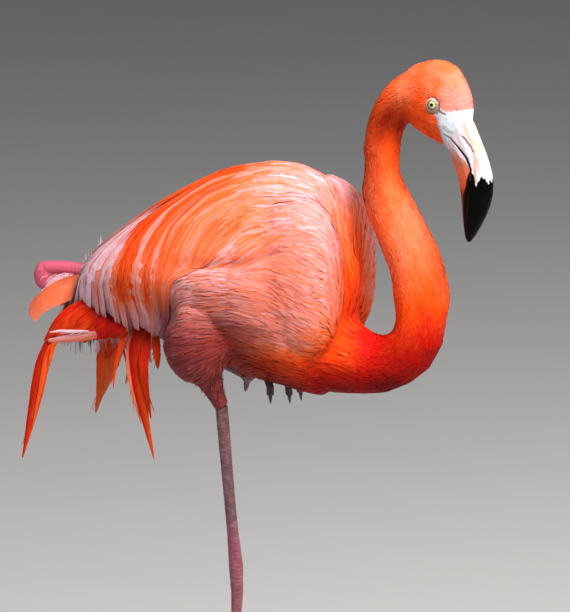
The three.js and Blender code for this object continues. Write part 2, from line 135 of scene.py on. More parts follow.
def smooth_line(points, count):
    """A smooth course through points, as evenly spaced places."""
    points = np.asarray(points, float)
    padded = np.vstack([2 * points[0] - points[1], points, 2 * points[-1] - points[-2]])
    t = np.linspace(0, len(points) - 1 - 1e-9, 12 * len(points))
    i = t.astype(int)
    f = (t - i)[:, None]
    a, b, c, d = padded[i], padded[i + 1], padded[i + 2], padded[i + 3]
    line = b + 0.5 * f * (c - a + f * (2 * a - 5 * b + 4 * c - d + f * (3 * (b - c) + d - a)))
    run = np.concatenate([[0], np.cumsum(np.linalg.norm(np.diff(line, axis=0), axis=1))])
    even = np.linspace(0, run[-1], count)
    return np.stack([np.interp(even, run, line[:, k]) for k in range(line.shape[1])], 1)


def distance_to_line(points, line):
    """How far each 2-D point is from a line through 2-D points."""
    best = np.full(len(points), 1e9)
    for a, b in zip(line[:-1], line[1:]):
        along = b - a
        t = np.clip((points - a) @ along / (along @ along), 0, 1)
        best = np.minimum(best, np.linalg.norm(points - a - t[:, None] * along, axis=1))
    return best


# ---------------------------------------------------------------- shader helpers

def node(tree, kind, settings=None, links=None):
    """A shader node. links gives its inputs, each a plain value or a Shade."""
    made = tree.nodes.new(kind)
    for name, value in (settings or {}).items():
        setattr(made, name, value)
    for name, value in (links or {}).items():
        if isinstance(value, Shade):
            tree.links.new(value.socket, made.inputs[name])
        else:
            made.inputs[name].default_value = value
    return made


class Shade:
    """What a shader node gives at each point, for plain arithmetic to work on."""

    def __init__(self, socket):
        self.socket = socket
        self.tree = socket.id_data

    def math(self, operation, other=0.0, clamp=False):
        settings = {"operation": operation, "use_clamp": clamp}
        return Shade(node(self.tree, "ShaderNodeMath", settings, {0: self, 1: other}).outputs[0])

    def __add__(self, other):
        return self.math("ADD", other)

    def __sub__(self, other):
        return self.math("SUBTRACT", other)

    def __mul__(self, other):
        return self.math("MULTIPLY", other)

    def __abs__(self):
        return self.math("ABSOLUTE")

    def clamped(self):
        return self.math("ADD", 0.0, True)


def new_material(name, roughness):
    material = bpy.data.materials.new(name)
    material.use_nodes = True
    shader = material.node_tree.nodes["Principled BSDF"]
    shader.inputs["Roughness"].default_value = roughness
    return material, material.node_tree, shader


def paint(shader, colour, height, distance, strength):
    """Colours a material, and raises it by up to a distance in metres where height is 1."""
    tree = shader.id_data
    links = {"Height": height, "Distance": distance, "Strength": strength}
    tree.links.new(colour.socket, shader.inputs["Base Color"])
    tree.links.new(node(tree, "ShaderNodeBump", {}, links).outputs[0], shader.inputs["Normal"])


def attribute(tree, name, output="Fac"):
    return Shade(node(tree, "ShaderNodeAttribute", {"attribute_name": name}).outputs[output])


def object_place(tree):
    return Shade(node(tree, "ShaderNodeTexCoord").outputs["Object"])


def noise(tree, scale, detail=3.0, vector=None):
    links = {"Vector": vector or object_place(tree), "Scale": scale, "Detail": detail}
    return Shade(node(tree, "ShaderNodeTexNoise", {}, links).outputs["Fac"])


def ramp(value, stops):
    made = node(value.tree, "ShaderNodeValToRGB", {}, {"Fac": value})
    elements = made.color_ramp.elements
    while len(elements) < len(stops):
        elements.new(1)
    for element, (place, colour) in zip(elements, stops):
        element.position = place
        element.color = (*colour, 1)
    return Shade(made.outputs["Color"])


def step(value, low, high):
    """0 where value is under low, 1 where it is over high."""
    links = {"Value": value, "From Min": low, "From Max": high}
    made = node(value.tree, "ShaderNodeMapRange", {"interpolation_type": "SMOOTHSTEP"}, links)
    return Shade(made.outputs[0])


def mix(share, a, b, how="MIX"):
    """From the shade a to b, which is a shade or a plain colour."""
    settings = {"data_type": "RGBA", "blend_type": how}
    links = {0: share, 6: a, 7: b if isinstance(b, Shade) else (*b, 1)}
    return Shade(node(a.tree, "ShaderNodeMix", settings, links).outputs[2])


def vector_math(tree, operation, links, output=0):
    made = node(tree, "ShaderNodeVectorMath", {"operation": operation}, links)
    return Shade(made.outputs[output])


def place_on_head(tree):
    """Where a point lies on the head, in millimetres: ahead, height and out to either side."""
    offset = vector_math(tree, "SUBTRACT", {0: object_place(tree), 1: tuple(HEAD * MM)})
    ahead, height, left = (
        vector_math(tree, "DOT_PRODUCT", {0: offset, 1: tuple(axis / MM)}, "Value")
        for axis in (HEAD_AHEAD, UP, HEAD_LEFT)
    )
    return ahead, height, abs(left)


def line_distance(ahead, height, line):
    """How far a point is from a line on the side of the head, in millimetres."""
    tree = ahead.tree
    spot = Shade(node(tree, "ShaderNodeCombineXYZ", {}, {"X": ahead, "Y": height}).outputs[0])
    nearest = None
    for start, end in zip(line[:-1], line[1:]):
        along = np.subtract(end, start)
        offset = vector_math(tree, "SUBTRACT", {0: spot, 1: (*start, 0)})
        pace = (*(along / (along @ along)), 0)
        share = vector_math(tree, "DOT_PRODUCT", {0: offset, 1: pace}, "Value").clamped()
        reached = vector_math(tree, "SCALE", {0: (*along, 0), "Scale": share})
        far = vector_math(tree, "DISTANCE", {0: offset, 1: reached}, "Value")
        nearest = nearest.math("MINIMUM", far) if nearest else far
    return nearest


# ---------------------------------------------------------------- camera, floor and light

VIEW_AZIMUTH = math.radians(-67)
VIEW_ELEVATION = math.radians(13)
VIEW_DISTANCE = 6000
VIEW_TARGET = (51.5, 0, 292.3)
VIEW_LENS = 336.1
SENSOR = 36


def look_from(azimuth, elevation):
    level = math.cos(elevation)
    return np.array([math.sin(azimuth) * level, -math.cos(azimuth) * level, math.sin(elevation)])


def place_looking(thing, back, place):
    thing.location = Vector(place * MM)
    thing.rotation_euler = Vector(-back).to_track_quat("-Z", "Y").to_euler()
    bpy.context.scene.collection.objects.link(thing)


def make_camera():
    data = bpy.data.cameras.new("camera")
    data.lens = VIEW_LENS
    data.sensor_width = SENSOR
    camera = bpy.data.objects.new("camera", data)
    back = look_from(VIEW_AZIMUTH, VIEW_ELEVATION)
    place_looking(camera, back, at(*VIEW_TARGET) + back * VIEW_DISTANCE)
    bpy.context.scene.camera = camera


def make_light(name, azimuth, elevation, distance, size, watts, colour):
    data = bpy.data.lights.new(name, "AREA")
    data.shape = "DISK"
    data.size = size
    data.energy = watts
    data.color = colour
    back = look_from(math.radians(azimuth), math.radians(elevation))
    place_looking(bpy.data.objects.new(name, data), back, at(0, 0, 300) + back * distance)


def make_stage():
    bpy.ops.mesh.primitive_plane_add(size=12)
    floor = bpy.context.object
    floor.name = "floor"
    material, tree, shader = new_material("floor_paint", 0.8)
    colour = ramp(noise(tree, 3.0), [(0, (0.5, 0.5, 0.5)), (1, (0.54, 0.53, 0.52))])
    tree.links.new(colour.socket, shader.inputs["Base Color"])
    floor.data.materials.append(material)
    world = bpy.data.worlds.new("studio")
    world.use_nodes = True
    background = world.node_tree.nodes["Background"]
    background.inputs["Color"].default_value = (0.92, 0.96, 1, 1)
    background.inputs["Strength"].default_value = 0.12
    bpy.context.scene.world = world
    make_light("key", -39, 50, 2600, 0.9, 124, (1, 0.98, 0.95))
    make_light("rear", -150, 46, 3200, 2.2, 34, (0.96, 0.98, 1))
    make_light("rim", 36, 34, 3000, 1.6, 40, (1, 0.98, 0.96))
    bpy.context.scene.view_settings.view_transform = "Standard"


# ---------------------------------------------------------------- meshes

def read(items, name, width, kind=float):
    values = np.empty(len(items) * width, np.float32 if kind is float else np.int32)
    items.foreach_get(name, values)
    return values.reshape(-1, width).astype(kind) if width > 1 else values.astype(kind)


def mesh_of(name, points, faces):
    """A mesh from points in millimetres and arrays of faces, each array of one size."""
    mesh = bpy.data.meshes.new(name)
    corners = np.concatenate([f.ravel() for f in faces])
    sizes = np.concatenate([np.full(len(f), f.shape[1]) for f in faces])
    mesh.vertices.add(len(points))
    mesh.vertices.foreach_set("co", (points * MM).astype(np.float32).ravel())
    mesh.loops.add(len(corners))
    mesh.loops.foreach_set("vertex_index", corners.astype(np.int32))
    mesh.polygons.add(len(sizes))
    starts = np.concatenate([[0], np.cumsum(sizes)[:-1]])
    mesh.polygons.foreach_set("loop_start", starts.astype(np.int32))
    mesh.update(calc_edges=True)
    mesh.polygons.foreach_set("use_smooth", np.ones(len(sizes), bool))
    return mesh


def mark(mesh, name, values):
    """Keeps a number, or three, for each point of a mesh, for its material to read."""
    values = np.asarray(values, np.float32)
    kind, field = ("FLOAT", "value") if values.ndim == 1 else ("FLOAT_VECTOR", "vector")
    mesh.attributes.new(name, kind, "POINT").data.foreach_set(field, values.ravel())


def place(mesh, name, material, slot, stands_for=()):
    obj = bpy.data.objects.new(name, mesh)
    bpy.context.scene.collection.objects.link(obj)
    mesh.materials.clear()
    mesh.materials.append(material)
    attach(obj, "root")
    if stands_for:
        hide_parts(*stands_for)
    return obj


def remeshed(names, voxel, swell=0.4, floors=None):
    """One closed mesh over copies of CAD nodes, each swollen so that their gaps close.
    floors gives the height that a node's copy is cut off at."""
    whole = bmesh.new()
    for name in names:
        part = bmesh.new()
        part.from_mesh(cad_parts[name].data)
        bmesh.ops.remove_doubles(part, verts=part.verts, dist=1e-5)
        part.normal_update()
        for vertex in part.verts:
            vertex.co += vertex.normal * swell * MM
        if name in (floors or {}):
            everything = part.verts[:] + part.edges[:] + part.faces[:]
            bmesh.ops.bisect_plane(
                part, geom=everything, plane_co=(0, 0, floors[name] * MM), plane_no=(0, 0, -1),
                clear_outer=True,
            )
            bmesh.ops.holes_fill(part, edges=[e for e in part.edges if e.is_boundary])
        mesh = bpy.data.meshes.new(name)
        part.to_mesh(mesh)
        whole.from_mesh(mesh)
        part.free()
    mesh = bpy.data.meshes.new("whole")
    whole.to_mesh(mesh)
    whole.free()
    obj = bpy.data.objects.new("whole", mesh)
    bpy.context.scene.collection.objects.link(obj)
    modifier = obj.modifiers.new("remesh", "REMESH")
    modifier.mode = "VOXEL"
    modifier.voxel_size = voxel * MM
    made = bpy.data.meshes.new_from_object(obj.evaluated_get(bpy.context.evaluated_depsgraph_get()))
    bpy.data.objects.remove(obj)
    points = read(made.vertices, "co", 3) / MM
    faces = read(made.loops, "vertex_index", 1, int).reshape(-1, 4)
    return points, faces


def relax(points, faces, rounds):
    """Smooths a mesh of quads without shrinking it."""
    a = faces.ravel()
    b = np.roll(faces, -1, axis=1).ravel()
    ends, others = np.concatenate([a, b]), np.concatenate([b, a])
    count = np.bincount(ends, minlength=len(points))[:, None]
    for _ in range(rounds):
        for strength in (0.6, -0.62):
            total = np.stack(
                [np.bincount(ends, points[others, k], minlength=len(points)) for k in range(3)], 1
            )
            points = points + strength * (total / count - points)
    return points


def normals_of(points, faces):
    diagonals = np.cross(
        points[faces[:, 2]] - points[faces[:, 0]], points[faces[:, 3]] - points[faces[:, 1]]
    )
    total = np.zeros_like(points)
    for k in range(3):
        for corner in range(4):
            total[:, k] += np.bincount(faces[:, corner], diagonals[:, k], minlength=len(points))
    return unit(total)


# ---------------------------------------------------------------- lie and tone of the coat

# The neck's middle line, from the breast to the back of the head.
NECK_LINE = [
    (95, 0, 254), (135, 0, 242), (170, 0, 244), (197, 0, 264), (206, 0, 300), (201, 0, 345),
    (181, 0, 388), (163, 0, 426), (159, 0, 466), (167, -1, 502), (188, -6, 528), (224, -22, 536),
]
UPPER_NECK = NECK_LINE[5:11]
# Tones along it, from the breast up: deepest red at the base, partly painted shade, and palest on the front
# just above the lowest loop, partly a painted highlight.
NECK_TONES = [1.0, 1.08, 1.1, 1.04, 0.8, 0.6, 0.58, 0.64, 0.74, 0.78, 0.76, 0.7]

# Places on the right of the body: where, which way the feathers lie there, and their tone
# (0 is mauve-white, 0.4 salmon, 0.7 orange, 1 deep red). The left side mirrors them.
BODY_LIE = [
    ((118, 0, 300), (-0.3, 0.0, 1.0), 0.92),
    ((128, -10, 330), (-0.1, -0.15, 1.0), 0.84),
    ((124, -14, 370), (-0.15, -0.15, 1.0), 0.6),
    ((112, -14, 405), (-0.5, -0.15, 0.85), 0.32),
    ((96, -12, 433), (-0.9, -0.2, 0.3), 0.3),
    ((118, -51, 395), (-0.8, -0.4, 0.3), 0.26),
    ((132, -46, 350), (-0.55, -0.4, 0.75), 0.3),
    ((132, -48, 310), (-0.6, -0.35, 0.7), 0.42),
    ((130, -66, 330), (-0.85, -0.5, 0.2), 0.42),
    ((98, -36, 420), (-0.95, -0.3, 0.1), 0.14),
    ((110, -44, 405), (-0.9, -0.35, 0.2), 0.2),
    ((50, 0, 451), (-1.0, 0.0, 0.0), 0.46),
    ((0, 0, 443), (-1.0, -0.1, -0.1), 0.58),
    ((-60, 0, 417), (-0.9, -0.1, -0.4), 0.66),
    ((-127, 0, 372), (-0.75, -0.1, -0.6), 0.08),
    ((65, -25, 444), (-0.95, -0.3, 0.0), 0.44),
    ((46, -34, 432), (-0.95, -0.3, -0.05), 0.34),
    ((16, -34, 436), (-0.8, -0.45, -0.3), 0.66),
    ((-34, -51, 414), (-0.6, -0.45, -0.6), 0.7),
    ((-79, -54, 390), (-0.45, -0.45, -0.75), 0.66),
    ((-121, -60, 351), (-0.35, -0.1, -0.9), 0.08),
    ((71, -59, 414), (-0.97, -0.15, 0.05), 0.44),
    ((28, -63, 416), (-0.88, -0.27, -0.39), 0.6),
    ((-11, -78, 395), (-0.45, -0.36, -0.8), 0.66),
    ((61, -75, 395), (-0.97, -0.17, -0.05), 0.52),
    ((29, -79, 393), (-0.65, -0.33, -0.7), 0.58),
    ((-13, -87, 375), (-0.15, -0.2, -0.97), 0.64),
    ((-51, -77, 381), (-0.16, -0.3, -0.93), 0.64),
    ((-88, -73, 366), (-0.12, -0.26, -0.96), 0.6),
    ((-60, -92, 320), (0.0, 0.05, -1.0), 0.3),
    ((-120, -70, 310), (-0.05, 0.1, -1.0), 0.06),
    ((-165, -30, 310), (-0.3, -0.1, -0.95), 0.08),
    ((42, -88, 366), (-0.75, -0.2, -0.55), 0.3),
    ((63, -79, 380), (-0.68, -0.3, -0.67), 0.5),
    ((92, -83, 352), (-0.97, -0.08, 0.2), 0.42),
    ((93, -85, 320), (-0.89, -0.11, 0.45), 0.44),
    ((40, -93, 333), (-0.97, -0.02, 0.15), 0.34),
    ((-4, -94, 335), (-0.98, 0.05, -0.2), 0.22),
    ((60, -86, 296), (-0.95, -0.12, 0.29), 0.36),
    ((10, -88, 298), (-0.98, 0.1, -0.05), 0.32),
    ((128, -61, 287), (-0.72, -0.5, 0.45), 0.52),
    ((112, -74, 296), (-0.86, -0.25, 0.45), 0.3),
    ((98, -70, 265), (-0.86, -0.27, 0.44), 0.34),
    ((150, -34, 262), (-0.8, -0.3, 0.5), 0.9),
    ((136, -52, 248), (-0.85, -0.35, 0.35), 0.84),
    ((108, -62, 240), (-0.88, -0.3, 0.3), 0.96),
    ((68, -66, 240), (-0.88, -0.35, 0.2), 0.84),
    ((44, -76, 266), (-0.85, -0.4, 0.2), 0.4),
    ((126, -28, 220), (-0.85, -0.45, 0.3), 1.05),
    ((60, -10, 209), (-1.0, 0.0, 0.1), 1.0),
    ((-10, -20, 225), (-0.98, -0.1, 0.15), 0.62),
    ((-40, -10, 246), (-0.95, 0.0, 0.2), 0.6),
    ((-120, -10, 278), (-0.98, 0.0, 0.1), 0.8),
]
RIGHT_THIGH_LIE = [
    ((22, -84, 262), (-0.85, -0.4, -0.1), 0.4),
    ((-30, -82, 262), (-0.85, 0.2, -0.3), 0.2),
    ((-38, -74, 244), (-0.75, 0.25, -0.5), 0.16),
    ((10, -66, 238), (-0.75, 0.1, -0.55), 0.4),
    ((-6, -44, 214), (-0.2, 0.1, -0.95), 0.22),
    ((-5, -38, 196), (0.0, 0.0, -1.0), 0.22),
]
LEFT_THIGH_LIE = [
    ((20, 104, 262), (-1.0, 0.0, 0.0), 0.3),
    ((-60, 92, 274), (-1.0, 0.0, 0.1), 0.3),
    ((-150, 76, 286), (-1.0, 0.0, 0.05), 0.4),
]
# Places on the right of the head: ahead, height, left; which way the feathers lie; tone.
HEAD_LIE = [
    # The paler salmon ahead of the eyes is partly the plumage's own colour and partly a painted highlight.
    ((36, 4, 0), (-0.5, 0.85, 0.0), 0.36),
    ((24, 24, -4), (-0.75, 0.65, 0.0), 0.42),
    ((0, 43, -4), (-1.0, 0.1, 0.0), 0.58),
    ((-34, 38, -4), (-0.9, -0.3, 0.0), 0.68),
    ((22, 8, -18), (-0.85, 0.5, 0.0), 0.36),
    ((0, 16, -22), (-0.95, 0.1, 0.0), 0.62),
    ((-12, -2, -22), (-0.95, -0.25, 0.0), 0.74),
    ((-4, -20, -22), (-0.85, -0.5, 0.0), 0.74),
    ((0, -40, -8), (-0.95, 0.05, 0.0), 0.8),
    ((-30, -20, -20), (-0.85, -0.4, 0.0), 0.74),
    ((-45, 5, -18), (-0.8, -0.6, 0.0), 0.56),
]


def lie_table():
    rows = []
    line = smooth_line([at(*p) for p in NECK_LINE], 40)
    tones = np.interp(np.linspace(0, 11, 40), range(12), NECK_TONES)
    for i in range(39):
        rows.append((line[i], unit(line[i] - line[i + 1]), tones[i]))
    for side in (1, -1):
        for (forward, left, height), (df, dl, dh), tone in BODY_LIE:
            rows.append((at(forward, side * left, height), way(df, side * dl, dh), tone))
        for (ahead, height, left), (da, dh, dl), tone in HEAD_LIE:
            turned = HEAD_AHEAD * da + UP * dh + HEAD_LEFT * dl * side
            rows.append((on_head(ahead, height, side * left), unit(turned), tone))
    for spot, direction, tone in RIGHT_THIGH_LIE + LEFT_THIGH_LIE:
        rows.append((at(*spot), way(*direction), tone))
    return SimpleNamespace(
        places=np.array([r[0] for r in rows]),
        ways=np.array([r[1] for r in rows]),
        tones=np.array([r[2] for r in rows]),
    )


LIE = lie_table()


def weights_at(points):
    """How much each row of the table counts at each point: the near ones, mostly."""
    square = ((points[:, None, :] - LIE.places[None]) ** 2).sum(-1)
    softness = 60 + 240 * ease(70, 130, np.linalg.norm(points - HEAD, axis=1))
    weight = 1 / (square + softness[:, None]) ** 2.5
    return weight / weight.sum(1, keepdims=True)


def lie(points):
    return unit(weights_at(points) @ LIE.ways)


def tone_of(points):
    """The coat's markings: skin and feathers both take them from here."""
    flat = points.reshape(-1, 3)
    tone = weights_at(flat) @ LIE.tones + 0.05 * ripple(flat, 45, 3) + 0.03 * ripple(flat, 14, 4)
    return tone.reshape(points.shape[:-1])


def painted_shade(points):
    """Painted shade on the coat: most below, on the thighs, at the wings' lower edge, behind the
    upper neck, a painted shadow of the head under it, and at the lowest bend of the neck."""
    forward, left, height = body_places(points)
    under = ease(262 - 0.06 * forward, 210, height) * ease(205, 180, forward)
    thigh = ease(335, 268, height) * ease(95, 15, forward) * ease(-80, -50, forward)
    edge = ease(305, 252, height) * ease(-45, -65, forward)
    line_forward, _, line_height = zip(*UPPER_NECK)
    behind = np.interp(height, line_height, line_forward) - forward
    nape = ease(-16, 0, behind) * ease(395, 435, height) * ease(540, 505, height) * (forward > 120)
    bend = ease(300, 250, height) * ease(140, 185, forward)
    throat = bell(np.hypot(forward - 184, height - 500), 20) * ease(60, 30, np.abs(left + 10))
    total = 0.66 * under + 0.96 * thigh + 0.4 * edge + 0.5 * nape + 0.8 * throat + 0.5 * bend
    return np.clip(total, 0, 1)


# ---------------------------------------------------------------- skin

FLESH = [
    "trunk", "wing_right", "wing_left", "thigh_right", "thigh_left",
    "neck_lower", "neck_middle", "neck_upper", "head",
]
SKIN_VOXEL = 2.4
# The bare skin's border on the head: its height by the distance ahead, and behind the
# bill the distance ahead by the height.
FACE_TOP = [
    (-8, -12), (0, -9), (6, -1), (11.5, 0.5), (14, -3), (18.5, -5.2), (22, -4), (29, -3.3), (37, -1.5),
    (60, 4),
]
FACE_REAR = [
    (-60, 1), (-44, 4), (-38, 7), (-29.5, 9.2), (-21, 8.6), (-13.5, 6.5), (-8.5, 4), (-4, -4), (20, -6),
]


def bare_face(points):
    """1 on the bare skin between the eyes and the bill, 0 on the plumage."""
    ahead, height, _ = head_places(points)
    top = np.interp(ahead, *zip(*FACE_TOP))
    rear = np.interp(height, *zip(*FACE_REAR))
    wander = 0.7 * ripple(points, 7, 5)
    near = (np.linalg.norm(points - HEAD, axis=1) < 70) & (height > -60)
    return ease(-0.7, 0.7, np.minimum(top - height, ahead - rear) + wander) * near


def coat_depth(points):
    """How far the skin lies inside the coat's outline."""
    forward, left, height = body_places(points)
    depth = 3.8 - 2.3 * np.maximum(ease(130, 175, forward), ease(455, 470, height))
    depth -= 0.9 * ease(480, 510, height)
    tibia = ease(245, 205, height) * ease(40, 20, forward) * (left < 0)
    depth -= 2.4 * tibia
    ahead, up, _ = head_places(points)
    bill = ease(-17, -34, up + 0.45 * (34 - ahead)) * ease(14, 24, ahead)
    bill = bill * (np.linalg.norm(points - HEAD, axis=1) < 90)
    bare = np.maximum(bare_face(points), bill)
    return np.maximum(depth, 0.6) * (1 - bare) + bare * 3.4 * bill


def body_form(points):
    """How far the plumage swells beyond its plain outline, in folds and hollows."""
    forward, left, height = body_places(points)
    side = ease(40, 75, np.abs(left))
    lobe = bell(np.hypot(forward - 42, (height - 372) * 1.3), 26)
    tuck = bell(height - np.interp(forward, [-40, 0, 40, 90], [352, 349, 352, 372]), 7)
    tuck = tuck * ease(-60, -30, forward) * ease(110, 80, forward)
    flank = bell(np.hypot((forward - 15) * 0.8, height - 312), 38)
    rear = ease(-20, -45, forward) * bell(height - 300, 30)
    hollow = bell(left, 24) * ease(92, 112, forward) * ease(285, 320, height) * ease(450, 420, height)
    return side * (2.5 * lobe - 3.5 * tuck + 3.0 * flank - 3.0 * rear) + 5.0 * hollow


class Skin:
    """The bird's skin, with what is needed to grow feathers on it."""

    def __init__(self, obj):
        mesh = obj.data
        mesh.calc_loop_triangles()
        self.points = read(mesh.vertices, "co", 3) / MM
        self.normals = read(mesh.vertices, "normal", 3)
        self.corners = read(mesh.loop_triangles, "vertices", 3, int)
        loops = read(mesh.loop_triangles, "loops", 3, int)
        self.uv = read(mesh.uv_layers["OFBake"].uv, "vector", 2)[loops]
        self.tree = BVHTree.FromPolygons(self.points.tolist(), self.corners.tolist())
        a, b, c = (self.points[self.corners[:, k]] for k in range(3))
        self.areas = np.linalg.norm(np.cross(b - a, c - a), axis=1) / 2

    def scatter(self, spacing, where, rng):
        """Places about a spacing apart, where the given test of points holds, with their UV."""
        centres = self.points[self.corners].mean(1)
        areas = self.areas * (where(centres) > 0)
        count = int(3.2 * areas.sum() / spacing**2)
        chosen = rng.choice(len(areas), count, p=areas / areas.sum())
        u, v = rng.random((2, count))
        flip = u + v > 1
        u[flip], v[flip] = 1 - u[flip], 1 - v[flip]
        share = np.stack([1 - u - v, u, v], 1)[:, :, None]
        points = (self.points[self.corners[chosen]] * share).sum(1)
        uv = (self.uv[chosen] * share).sum(1)
        kept, grid = [], {}
        for i, (point, cell) in enumerate(zip(points.tolist(), (points // spacing).astype(int).tolist())):
            x, y, z = cell
            near = (
                grid.get((x + i_, y + j_, z + k_), ())
                for i_ in (-1, 0, 1) for j_ in (-1, 0, 1) for k_ in (-1, 0, 1)
            )
            if all(math.dist(point, other) > spacing for others in near for other in others):
                grid.setdefault((x, y, z), []).append(point)
                kept.append(i)
        return points[kept], uv[kept]

    def settle(self, points):
        """The nearest places on the skin, its smooth normals there, and its UV."""
        found = [self.tree.find_nearest(p) for p in points.tolist()]
        places = np.array([f[0] for f in found])
        faces = np.array([f[2] for f in found])
        return places, unit(self.normals[self.corners[faces]].mean(1)), self.uv[faces].mean(1)


def make_skin():
    floor = on_head(0, -48)[2]
    names = [*FLESH, "bill_upper", "bill_lower"]
    points, faces = remeshed(names, SKIN_VOXEL, 0.4, {"bill_upper": floor, "bill_lower": floor})
    points = relax(points, faces, 14)
    depth = coat_depth(points) + 0.4 - body_form(points)
    points = points - normals_of(points, faces) * depth[:, None]
    points = relax(points, faces, 4)
    for side in (1, -1):
        centre, ahead, up, out = eye_frame(side, *RING_TURN)
        offset = points - centre
        reach = np.hypot(offset @ ahead - LID_SHIFT[0], offset @ up - LID_SHIFT[1])
        limit = 1.2 + 9 * ease(7.8, 11, reach)
        points = points - out * (np.maximum(offset @ out - limit, 0) * (reach < 11))[:, None]
    mesh = mesh_of("skin", points, [faces])
    mark(mesh, "tone", tone_of(points))
    # The coat's painted shade, for the short plumage on the skin.
    mark(mesh, "shade", painted_shade(points))
    mark(mesh, "bare", bare_face(points))
    obj = place(mesh, "skin", skin_material(), "body_feathers", FLESH)
    unwrap(obj)
    return obj


def unwrap(obj):
    bpy.context.view_layer.objects.active = obj
    obj.select_set(True)
    bpy.ops.object.mode_set(mode="EDIT")
    bpy.ops.mesh.select_all(action="SELECT")
    bpy.ops.uv.smart_project(angle_limit=math.radians(70), island_margin=0.002)
    bpy.ops.object.mode_set(mode="OBJECT")
    obj.select_set(False)
    obj.data.uv_layers[0].name = "OFBake"


# ---------------------------------------------------------------- plumage materials

# Tone runs from mauve-white through salmon and orange to deep red.
PLUMAGE = [
    (0.0, (0.88, 0.60, 0.72)),
    (0.2, (0.92, 0.40, 0.40)),
    (0.36, (0.94, 0.27, 0.21)),
    (0.5, (0.95, 0.22, 0.11)),
    (0.62, (0.96, 0.155, 0.045)),
    (0.78, (0.95, 0.08, 0.004)),
    (1.0, (0.62, 0.007, 0.002)),
]
# The tint that painted shade multiplies the plumage by.
SHADE_TINT = (0.27, 0.12, 0.135)
BARE_SKIN = (0.72, 0.76, 0.83)


def velvet(shader):
    shader.inputs["Sheen Weight"].default_value = 0.015
    shader.inputs["Sheen Roughness"].default_value = 0.4
    shader.inputs["Sheen Tint"].default_value = (1, 0.7, 0.6, 1)
    shader.inputs["Specular IOR Level"].default_value = 0.08


# Lines on the bare face: distance ahead, height. A fold runs from the eye's lower corner,
# another parts the bare skin from the bill, and the gape starts behind the bill.
EYE_FOLD = [(4.5, -2.6), (6.7, -3.3), (10.5, -4.8), (14.5, -6.3), (18, -6.8)]
BILL_FOLD = [(14, -22), (16, -24.4), (19, -27), (24.7, -29.3), (30, -30.6), (34.5, -29.5)]
GAPE_CORNER = [(12.5, -29), (19, -33.5), (28, -38)]
PEACH_STREAK = [(33, -15), (38, -23), (43.5, -31), (49, -37), (52, -44), (54, -52), (55, -66)]


def plumage_colour(tree, swing, shade):
    """The colour of the tone here, shifted by swing, and darkened by the shade tint where shade
    is high: mostly painted shade, with some darkness that differs at random.
    """
    colour = ramp(attribute(tree, "tone") + swing, PLUMAGE)
    return mix(shade, colour, mix(1.0, colour, SHADE_TINT, "MULTIPLY"))


def skin_material():
    """Short plumage, and the wrinkled bare skin of the face."""
    material, tree, shader = new_material("skin_plumage", 0.7)
    velvet(shader)
    down = noise(tree, 420.0, 4.0)
    plumage = plumage_colour(tree, (down - 0.5) * 0.3, attribute(tree, "shade"))
    ahead, height, _ = place_on_head(tree)
    wander = (noise(tree, 150.0, 4.0) - 0.5) * 3.0
    along, above = ahead + wander, height + wander
    creases = noise(tree, 260.0, 5.0)
    peach = step(line_distance(along, above, PEACH_STREAK), 4.0, 0.5)
    eye_fold = step(line_distance(along, above, EYE_FOLD), 1.9, 0.3)
    bill_fold = step(line_distance(along, above, BILL_FOLD), 2.6, 0.2)
    gape = step(line_distance(along, above, GAPE_CORNER), 0.9, 0.3)
    # The bare skin: painted crease shade where the crease noise is low, and a painted highlight on the
    # ridges where it is high.
    bare = ramp(creases, [(0.3, (0.58, 0.61, 0.68)), (0.55, BARE_SKIN), (0.8, (0.76, 0.77, 0.8))])
    for share, colour in (
        (step(ahead, 22.0, 42.0), (0.76, 0.74, 0.75)),
        (step(ahead, 17.0, 5.0) * 0.75, (0.3, 0.27, 0.3)),
        (peach * 0.8, (0.74, 0.44, 0.33)),
        # painted crease shade along the bill fold and the eye fold, and painted shade in the gap at the gape
        (bill_fold * 0.5, (0.3, 0.28, 0.34)),
        (eye_fold * 0.85, (0.12, 0.08, 0.07)),
        (gape, (0.06, 0.03, 0.04)),
    ):
        bare = mix(share, bare, colour)
    colour = mix(attribute(tree, "bare"), plumage, bare)
    paint(shader, colour, down + creases - (eye_fold + bill_fold) * 0.8, 0.0006, 0.5)
    return material


def feather_material(name, streak, barb=0.25):
    """A feather's tone, with fine streaks along it and ridges of barbs."""
    material, tree, shader = new_material(name, 0.62)
    velvet(shader)
    vane = attribute(tree, "vane", "Vector")
    parts = node(tree, "ShaderNodeSeparateXYZ", {}, {"Vector": vane}).outputs
    across, along, chance = (Shade(part) for part in parts)
    links = {"X": across * 1.2, "Y": along * 0.07, "Z": chance * 90.0}
    stretched = Shade(node(tree, "ShaderNodeCombineXYZ", {}, links).outputs[0])
    streaks = noise(tree, 1.0, 3.0, stretched)
    swing = (streaks - 0.5) * streak
    colour = plumage_colour(tree, swing, (attribute(tree, "shade") + swing).clamped())
    ridges = ((along - abs(across) * 1.7) * 6.0).math("SINE")
    paint(shader, colour, ridges * barb + streaks, 0.0005, 0.5)
    return material


# ---------------------------------------------------------------- feathers

